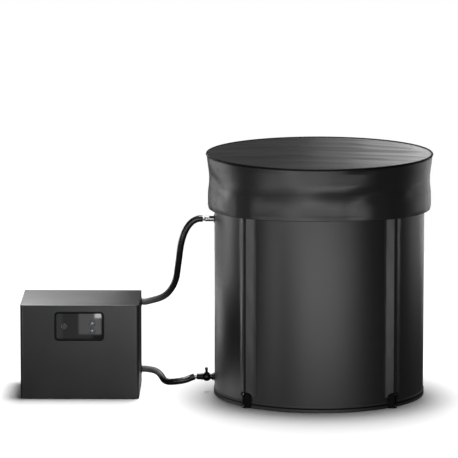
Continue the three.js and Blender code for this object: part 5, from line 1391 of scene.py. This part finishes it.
# Chiller case. Insets are how far a thing lies inside the case's outline or the window's.
caseLow, caseHigh = np.array(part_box("front_shell"))
caseMiddle, caseHalf = (caseLow + caseHigh) / 2.0, (caseHigh - caseLow) / 2.0
windowCentre = middle("display_frame")
caseSet = {"corner": 0.012, "sheet": 0.002, "sheetRound": 0.0004, "foldRound": 0.0012, "cornerSteps": 14,
           "plate": 0.003, "hollow": 0.0043, "rim": 0.0023, "portHole": 0.0123, "cutReach": 0.01}
windowSet = {"width": 0.1778, "height": 0.1057, "corner": 0.015, "border": 0.0066, "bezelRound": 0.0014,
             "flangeOut": 0.007, "flangeIn": 0.0004, "flange": 0.002, "flangeRound": 0.0003, "steps": 12,
             "glassEdge": ((0.0, 0.0006), (0.0002, 0.0002), (0.0006, 0.0))}
ventSet = {"count": 8, "floor": 0.07, "pitch": 0.013, "height": 0.005, "length": 0.13}


def casePlan(inset):
    # From the back right corner, forward along the right, round the front, and back along the left
    radius = caseSet["corner"] - inset
    halfX, front, back = caseHalf[0] - inset, caseLow[1] + inset, caseHigh[1]
    angles = np.linspace(0.0, -quarter, caseSet["cornerSteps"])
    right = np.column_stack([halfX - radius + radius * np.cos(angles),
                             front + radius + radius * np.sin(angles)])
    side = np.linspace((halfX, back), (halfX, front + radius), 6)[:-1]
    along = np.linspace(right[-1, 0], -right[-1, 0], 8)[1:-1]
    half = np.concatenate([side, right])
    whole = np.concatenate([half, np.column_stack([along, np.full(len(along), front)]),
                            half[::-1] * (-1.0, 1.0)])
    return whole + (caseMiddle[0], 0.0)


def windowStack(name, layers, **options):
    # Rounded rectangles as wide as the window, one behind another: each layer is (inset, place)
    return stackPiece(name, windowSet["width"] / 2.0, windowSet["height"] / 2.0, windowSet["corner"], layers,
                      (windowCentre[0], 0.0, windowCentre[2]), "y", windowSet["steps"], **options)


def frontShell():
    # The bent sheet: a thin upright section carried along the plan, less the window, vents and port holes
    reach, slot = caseSet["cutReach"], ventSet["height"]
    outer, inner = casePlan(0.0)[:, None], casePlan(caseSet["sheet"])[:, None]
    section = roundedProfile([(0.0, caseLow[2]), (0.0, caseHigh[2]), (1.0, caseHigh[2]), (1.0, caseLow[2])],
                             caseSet["sheetRound"], 3)
    share, height = section[None, :, :1], section[None, :, 1:]
    plan = outer * (1.0 - share) + inner * share
    grid = np.concatenate([plan, np.broadcast_to(height, (*plan.shape[:2], 1))], axis=-1)
    shell = gridPiece("caseShell", grid, capEnds=True, sharp=30.0)
    cutters = [windowStack("cutter", [(0.0, caseLow[1] - reach), (0.0, caseLow[1] + reach)])]
    for index in range(ventSet["count"]):
        place = (0.0, caseMiddle[1], ventSet["floor"] + index * ventSet["pitch"] + slot / 2.0)
        cutters.append(stackPiece("cutter", ventSet["length"] / 2.0, slot / 2.0, slot * 0.49,
                                  [(0.0, caseLow[0] - reach), (0.0, caseLow[0] + reach)], place, "x", 6))
    for port in ("port_upper", "port_lower"):
        cutters.append(rodCutter(caseSet["portHole"], caseHigh[0] - reach, caseHigh[0] + reach, "x",
                                 (0.0, *middle(port)[1:])))
    cutAway(shell, cutters)
    smoothed(shell, 30.0)
    keepPiece(shell, "case", nodes=["front_shell"], worn=True)


def topPanel():
    # Round plan loops from the hollow's ceiling, down and round the rim, and up over the folded edge
    floor, top = span("top_panel", 2)
    plate, fold, hollow, rim = top - caseSet["plate"], caseSet["foldRound"], caseSet["hollow"], caseSet["rim"]
    layers = [(hollow, plate), (hollow, floor), (rim, floor), (rim, plate), (0.0, plate)]
    layers += [(fold * (1.0 - math.cos(a)), top - fold + fold * math.sin(a)) for a in quarterArc(6)[:, 0]]
    loops = []
    for inset, height in layers:
        x, y = casePlan(inset).T
        loops.append(np.column_stack([x, np.minimum(y, caseHigh[1] - inset), np.full(len(x), height)]))
    panel = gridPiece("caseTop", np.array(loops), capEnds=True, sharp=30.0)
    keepPiece(panel, "case", nodes=["top_panel"], worn=True)


def windowRing(name, outerInset, innerInset, front, back, roundness):
    # A rounded rectangle ring: an outer and an inner wall joined round the front and the back
    layers = [(outerInset, back), (outerInset, front), (innerInset, front), (innerInset, back)]
    return windowStack(name, roundedProfile(layers, roundness), capEnds=False, wrapRows=True)


def windowFrame():
    # The bezel in the shell's opening, and its flange behind the sheet
    bezel = windowRing("windowFrame", seatGap, windowSet["border"], *span("display_frame", 1),
                       windowSet["bezelRound"])
    keepMoulded(bezel, "display_frame", finish="bezel")
    front = caseLow[1] + caseSet["sheet"] + seatGap
    flange = windowRing("windowFlange", -windowSet["flangeOut"], windowSet["flangeIn"], front,
                        front + windowSet["flange"], windowSet["flangeRound"])
    keepPiece(flange, "bezel")


buttonSet = {"power_button": {"body": "power_key", "ring": 0.0092},
             "up_button": {"body": "up_key", "ring": 0.0088},
             "down_button": {"body": "down_key", "ring": 0.0088}}
markSet = {"flange": 0.0012, "flangeDeep": 0.0015, "dish": 0.0003, "softEdge": 0.0005, "ringWide": 0.0016,
           "levelRing": 0.0082, "levelWide": 0.0014, "dot": 0.0048, "dotFoot": 0.0052, "arrow": 0.0042,
           "arrowRound": 0.0006, "sunk": 0.0001}


def buttonRadius(name):
    # The flange behind the glass reaches past the cap
    return halfSize(name, 0) - markSet["flange"]


def litRing(name, ring, wide, front, place, finish, body=tubBody):
    # A flat ring that stands a tiny gap off its face
    profile = [(ring - wide, front + markSet["sunk"]), (ring - wide, front - tinyGap),
               (ring, front - tinyGap), (ring, front + markSet["sunk"])]
    keepPiece(turnedPiece(name, profile, "y", place, 64, 0.0), finish, body)


def windowGlass():
    # The pane with a soft edge, less a hole for each button, and a faint ring between the two level buttons
    front, back = span("display_glass", 1)
    inset, cutReach = windowSet["border"] + seatGap, caseSet["cutReach"]
    edge = [(inset + further, front + deep) for further, deep in windowSet["glassEdge"]]
    glass = windowStack("windowGlass", [(inset, back), *edge])
    cutAway(glass, [rodCutter(buttonRadius(name) + seatGap, front - cutReach, back + cutReach, "y",
                              middle(name) * (1.0, 0.0, 1.0), 64) for name in buttonSet])
    smoothed(glass, 9.0)
    keepPiece(glass, "window", nodes=["display_glass"])
    x, _, z = (middle("up_button") + middle("down_button")) / 2.0
    litRing("levelRing", markSet["levelRing"], markSet["levelWide"], front, (x, 0.0, z), "legendFaint")


def buttons():
    # A dished cap on a flange, with a lit ring and a mark
    for name, settings in buttonSet.items():
        front, back = span(name, 1)
        x, _, z = middle(name)
        radius, body, place = buttonRadius(name), settings["body"], (x, 0.0, z)
        flange, seat = radius + markSet["flange"], back - markSet["flangeDeep"]
        profile = [(0.0, front + markSet["dish"]), (radius * 0.62, front + 0.0002), (radius * 0.9, front),
                   (radius, front + 0.0004), (radius, seat), (flange, seat), (flange, back), (0.0, back)]
        cap = turnedPiece(name.replace("_button", "Button"), profile, "y", place, 64, markSet["softEdge"],
                          hollow=False)
        keepPiece(cap, "button", body, nodes=[name], worn=True)
        litRing(name.replace("_button", "Ring"), settings["ring"], markSet["ringWide"], front, place,
                "ringTeal", body)
        if name == "power_button":
            profile = [(0.0, front - tinyGap), (markSet["dot"], front - tinyGap),
                       (markSet["dotFoot"], front + 0.0003), (0.0, front + 0.0004)]
            mark, finish = turnedPiece("powerDot", profile, "y", place, 48, 0.0, hollow=False), "dotRed"
        else:
            mark, finish = arrowMark(name, place, front), "legend"
        keepPiece(mark, finish, body)


def arrowMark(name, place, front):
    # A rounded triangle, pointing up or down
    upward = 1.0 if name == "up_button" else -1.0
    corners = np.array([(0.0, 1.0), (-0.95, -0.7), (0.95, -0.7)]) * markSet["arrow"] * (1.0, upward)
    x, z = roundedProfile(corners, markSet["arrowRound"], 3).T
    rows = [np.column_stack([x, np.full(len(x), y), z]) + place for y in (front + 0.0004, front - tinyGap)]
    return gridPiece(name.replace("_button", "Arrow"), np.array(rows), capEnds=True)


portSet = {"bore": 0.007, "sleeve": 0.012, "nose": 0.0118, "bevelIn": 0.0022, "bevel": 0.0014,
           "soften": 0.0005}


def casePorts():
    # A sleeve through the case with a bevelled flange outside it
    for name in ("port_upper", "port_lower"):
        inner, outer = span(name, 0)
        flange, seat = halfSize(name, 2), caseHigh[0] + seatGap
        bore, sleeve = portSet["bore"], portSet["sleeve"]
        profile = [(bore, inner), (sleeve, inner), (sleeve, seat), (flange, seat),
                   (flange, outer - portSet["bevel"]), (flange - portSet["bevelIn"], outer),
                   (portSet["nose"], outer), (bore, outer)]
        port = turnedPiece(name.replace("_", "") + "Fitting", profile, "x", (0.0, *middle(name)[1:]), 64,
                           portSet["soften"])
        keepMoulded(port, name)


screwSet = {"radius": 0.0034, "height": 0.0018, "socket": 0.0015, "socketFloor": 0.0006, "sunk": 0.0008,
            "rim": 0.0004, "soften": 0.0003, "sides": 24, "inset": (0.01, 0.012), "middleUp": 0.02}
pinSet = {"half": (0.001, 0.002), "corner": 0.0004, "foot": 0.0155, "tip": 0.003,
          "places": ((-0.007, -0.002), (0.0, 0.003), (0.007, -0.002))}


def caseTrim():
    # Domed screws with a socket round the back panel's edge, none at its middle, and pins in the mains inlet
    radius, height, socket = screwSet["radius"], screwSet["height"], screwSet["socket"]
    profile = [(0.0, -screwSet["sunk"]), (radius, -screwSet["sunk"]), (radius, screwSet["rim"]),
               (radius * 0.7, height), (socket, height), (socket, screwSet["socketFloor"]),
               (0.0, screwSet["socketFloor"])]
    profile = roundedProfile(profile, screwSet["soften"], 2, closed=False)
    grid = turnedGrid(profile, "y", screwSet["sides"])
    insetX, insetZ = screwSet["inset"]
    xs = (caseLow[0] + insetX, caseMiddle[0], caseHigh[0] - insetX)
    zs = (caseLow[2] + insetZ, caseMiddle[2] + screwSet["middleUp"], caseHigh[2] - insetZ)
    places = [(x, caseHigh[1], z) for x in xs for z in zs if (x, z) != (xs[1], zs[1])]
    for index, place in enumerate(places):
        keepPiece(gridPiece("backScrew_%d" % (index + 1), grid + place), "screw", worn=True)
    inlet, mouth = middle("power_inlet"), span("power_inlet", 1)[1]
    corner, tip = pinSet["corner"], mouth - pinSet["tip"]
    for index, (dx, dz) in enumerate(pinSet["places"]):
        pin = stackPiece("inletPin_%d" % (index + 1), *pinSet["half"], corner,
                         [(0.0, mouth - pinSet["foot"]), (0.0, tip - 0.0005), (corner, tip)],
                         (inlet[0] + dx, 0.0, inlet[2] + dz), "y", 3)
        keepPiece(pin, "stainless")


lineSet = {"radius": 0.009, "sides": 28, "samples": 10, "straight": 0.014,
           "pump_line": {"reference": (0.35, 0.8, 0.1),
                         "shares": ((0.0, 0.0, 0.5), (0.1, 0.25, 0.95), (0.3, 0.85, 1.0))},
           "return_line": {"reference": (0.1, -0.6, 0.9),
                           "shares": ((0.0, 0.0, 0.5), (0.2, 0.25, 0.92), (0.6, 0.8, 1.0))}}


def innerLine(name, start, end, last):
    # A soft line inside the case: from its start by shares of the rise to its end, which it meets straight on
    start, end, settings = np.array(start), np.array(end), lineSet[name]
    route = [start, *(start + (end - start) * share for share in settings["shares"]), end + (last, 0.0, 0.0),
             end]
    grid = tubeGrid(throughPoints(route, lineSet["samples"]), lineSet["radius"], lineSet["sides"],
                    settings["reference"])
    keepPiece(gridPiece(name + "_tube", grid, capEnds=True, sharp=50.0), "rubber",
              nodes=[name])


def innerLines():
    # From the pump up to the plates, and from the plates to the upper port
    radius, straight = lineSet["radius"], lineSet["straight"]
    (left, right), (bottom, top) = span("pump_line", 0), span("pump_line", 2)
    plates, port = middle("heat_exchanger"), middle("port_upper")
    innerLine("pump_line", (right - radius, middle("pump_impeller")[1], bottom),
              (left, plates[1], top - radius), straight)
    left, right = span("return_line", 0)
    innerLine("return_line", (left + radius, plates[1], span("return_line", 2)[0]), (right, *port[1:]),
              -straight)


frontShell()
topPanel()
windowFrame()
windowGlass()
buttons()
casePorts()
caseTrim()
innerLines()

# The solids that stay take their finish in their own slots
solidFinishes = {
    "rubber": ("base_panel", "foot_rail_front", "foot_rail_rear"), "stainless": ("valve_ball",),
    "zinc": ("base_pan",), "case": ("rear_panel",), "board": ("control_board",), "enamel": ("compressor",),
    "fins": ("condenser",), "brazed": ("heat_exchanger",),
    "plastic": ("power_inlet", "fan_motor", "fan", "pump_body", "pump_impeller"),
}
for finish, names in solidFinishes.items():
    for name in names:
        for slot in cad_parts[name].material_slots:
            slot.material = finishes[finish]
print("chiller made")


# Floor, light and surroundings
stageSet = {"floorSize": 6.0, "floorTone": 0.9, "floorRoughness": 0.9, "surround": 0.04, "sun": 0.92,
            "sunAngle": 16.0, "sunSlopes": (-0.06, 0.09, 0.23, 0.36), "floorLightHeight": 8.0,
            "floorLightSize": 2.1, "floorLight": 1.28,
            "shadowless": ("upperHose", "lowerHose", "valveBody", "valveBonnet", "valveBarb", "valveHandle",
                           "returnPipe")}
# Overhead lights for the floor: how far right and back they hang, and their share
floorLights = [(0.12, 0.0, 0.4), (-0.03, 0.8, 0.24), (-0.03, 1.8, 0.2), (-0.03, 3.0, 0.16)]
# Softboxes: the way they face, their centre, width, height and brightness
softboxes = {
    "farLeft": ("back", (-2.25, -1.9, 0.185), 0.9, 0.33, 11.0),
    "frontLow": ("back", (0.06, -1.9, 0.185), 1.68, 0.33, 6.2),
    "frontLowRight": ("back", (1.2, -1.9, 0.185), 0.6, 0.33, 3.9),
    "tallLeft": ("back", (-0.95, -1.9, 0.775), 0.7, 0.85, 3.8),
    "tallMiddle": ("back", (0.0, -1.9, 0.775), 0.6, 0.85, 1.6),
    "backLeftOuter": ("front", (-1.3, 2.0, 1.35), 0.2, 0.8, 7.5),
    "backLeftInner": ("front", (-1.0, 2.0, 1.35), 0.4, 0.8, 2.3),
    "lowBackLeft": ("front", (-2.0, 2.0, 0.525), 0.4, 0.85, 3.4),
    "backRightInner": ("front", (0.1, 2.0, 1.35), 0.2, 0.8, 0.4),
    "backRightMiddle": ("front", (0.3, 2.0, 1.35), 0.2, 0.8, 1.5),
    "backRightOuter": ("front", (0.5, 2.0, 1.35), 0.2, 0.8, 3.2),
    "lowBackRight": ("front", (1.4, 2.0, 0.525), 0.4, 0.85, 3.2),
    "leftSide": ("right", (-2.7, 1.16, 0.475), 0.56, 0.85, 8.0),
    "rightSide": ("left", (2.2, 1.44, 0.475), 1.11, 0.85, 1.5),
    "behindCase": ("front", (-1.0, 2.0, 0.62), 0.5, 0.25, 1.0),
    "rimLeft": ("front", (-1.0, 0.66, 0.15), 0.34, 0.3, 2.6),
    "wallEdgeLeft": ("front", (-0.8, 2.0, 0.35), 0.6, 0.9, 2.0),
    "wallEdgeRight": ("front", (0.8, 2.0, 0.2), 0.6, 0.7, 1.3),
    "lowWall": ("right", (-0.6, -0.2, -0.035), 0.4, 0.14, 0.95),
    "floorGlow": ("up", (-0.515, 0.05, 0.004), 0.23, 0.7, 0.5),
    # Small cards before the chiller, each in a plane of its own, for its window to mirror
    "cardRight": ("back", (-0.8495, -0.9, 0.131), 0.085, 0.084, 1.25),
    "cardEdge": ("back", (-0.8225, -0.896, 0.131), 0.031, 0.084, 0.8),
    "cardCorner": ("back", (-0.819, -0.892, 0.164), 0.024, 0.022, 9.0),
    "cardLeft": ("back", (-0.9655, -0.904, 0.121), 0.025, 0.098, 0.28),
    "cardMiddle": ("back", (-0.91, -0.908, 0.125), 0.14, 0.11, 0.35),
}
facings = {"back": (quarter, 0.0, 0.0), "front": (quarter, 0.0, math.pi), "right": (quarter, 0.0, -quarter),
           "left": (quarter, 0.0, quarter), "up": (math.pi, 0.0, 0.0)}


def linkGroup(name, pieces, excluded=False):
    # A collection for light linking: these pieces alone, or all but these
    group = bpy.data.collections.new(name)
    for piece in pieces:
        group.objects.link(piece)
    for linked in group.collection_objects:
        linked.light_linking.link_state = "EXCLUDE" if excluded else "INCLUDE"
    return group


def newLight(name, kind, energy, receivers, location=(0.0, 0.0, 0.0), rotation=(0.0, 0.0, 0.0), **settings):
    # A light that the camera doesn't see, for its receivers only
    data = bpy.data.lights.new(name, kind)
    for key, value in settings.items():
        setattr(data, key, value)
    data.energy = energy
    light = bpy.data.objects.new(name, data)
    light.location, light.rotation_euler = location, rotation
    light.visible_camera = False
    light.light_linking.receiver_collection = receivers
    bpy.context.collection.objects.link(light)
    return light


def setFloor():
    # A matt square that only the camera and its own lights see
    half, tone = stageSet["floorSize"] / 2.0, stageSet["floorTone"]
    corners = np.array([(-half, -half, 0.0), (half, -half, 0.0), (half, half, 0.0), (-half, half, 0.0)])
    floor = meshPiece("floor", corners, [(0, 1, 2, 3)])
    material, _ = newFinish("paleFloor", stageSet["floorRoughness"], specular=0.0)
    floor.data.materials.append(finished(material, (tone, tone, tone, 1.0)))
    floor.visible_glossy = floor.visible_diffuse = floor.visible_shadow = floor.visible_transmission = False
    return floor


def setLights(floor):
    # Overhead lights for the floor, overhead suns and softboxes for the part. Hoses and fittings are too
    # thin for the soft overhead lights to draw on the floor, so they cast no shadow there.
    thin = [bpy.data.objects[name] for name in stageSet["shadowless"]]
    notFloor, onlyFloor = linkGroup("allButFloor", [floor], excluded=True), linkGroup("floorAlone", [floor])
    blockers = linkGroup("allButHoses", thin, excluded=True)
    height = stageSet["floorLightHeight"]
    # Straight below, a floor of tone t sends out t * power / (pi * height) ^ 2
    power = stageSet["floorLight"] * (math.pi * height) ** 2 / stageSet["floorTone"]
    for index, (across, back, share) in enumerate(floorLights):
        light = newLight("floorLight_%d" % (index + 1), "AREA", share * power, onlyFloor,
                         (across, back, height), shape="DISK", size=stageSet["floorLightSize"])
        light.light_linking.blocker_collection = blockers
    for index, slope in enumerate(stageSet["sunSlopes"]):
        newLight("overhead_%d" % (index + 1), "SUN", stageSet["sun"], notFloor,
                 rotation=(-math.atan(slope), 0.0, 0.0), angle=math.radians(stageSet["sunAngle"]))
    wall = linkGroup("wallOnly", [bpy.data.objects["tubWall"]])
    fabric = linkGroup("noHoses", [floor, *thin], excluded=True)
    receivers = {"behindCase": linkGroup("caseTopOnly", [bpy.data.objects["caseTop"]]), "floorGlow": fabric,
                 "lowWall": fabric, "wallEdgeLeft": wall, "wallEdgeRight": wall}
    for name, (facing, centre, width, tall, brightness) in softboxes.items():
        # A flat light's power is pi times its area and brightness
        newLight(name, "AREA", math.pi * width * tall * brightness, receivers.get(name, notFloor), centre,
                 facings[facing], shape="RECTANGLE", size=width, size_y=tall)


def setWorld():
    # White behind the part for the camera, and a dim surround for everything else
    world = bpy.data.worlds.new("studio")
    world.use_nodes = True
    tree, tone = world.node_tree, stageSet["surround"]
    white = tree.nodes["Background"]
    setInputs(tree, white, {"Color": (1.0, 1.0, 1.0, 1.0)})
    dim = addNode(tree, "Background", {"Color": (tone, tone, tone, 1.0)})[0]
    camera = addNode(tree, "LightPath", {})["Is Camera Ray"]
    mixed = addNode(tree, "MixShader", {"Fac": camera, 1: dim, 2: white.outputs[0]})[0]
    setInputs(tree, tree.nodes["World Output"], {"Surface": mixed})
    bpy.context.scene.world = world
    bpy.context.scene.view_settings.view_transform = "Standard"


setLights(setFloor())
setWorld()
print("stage set")
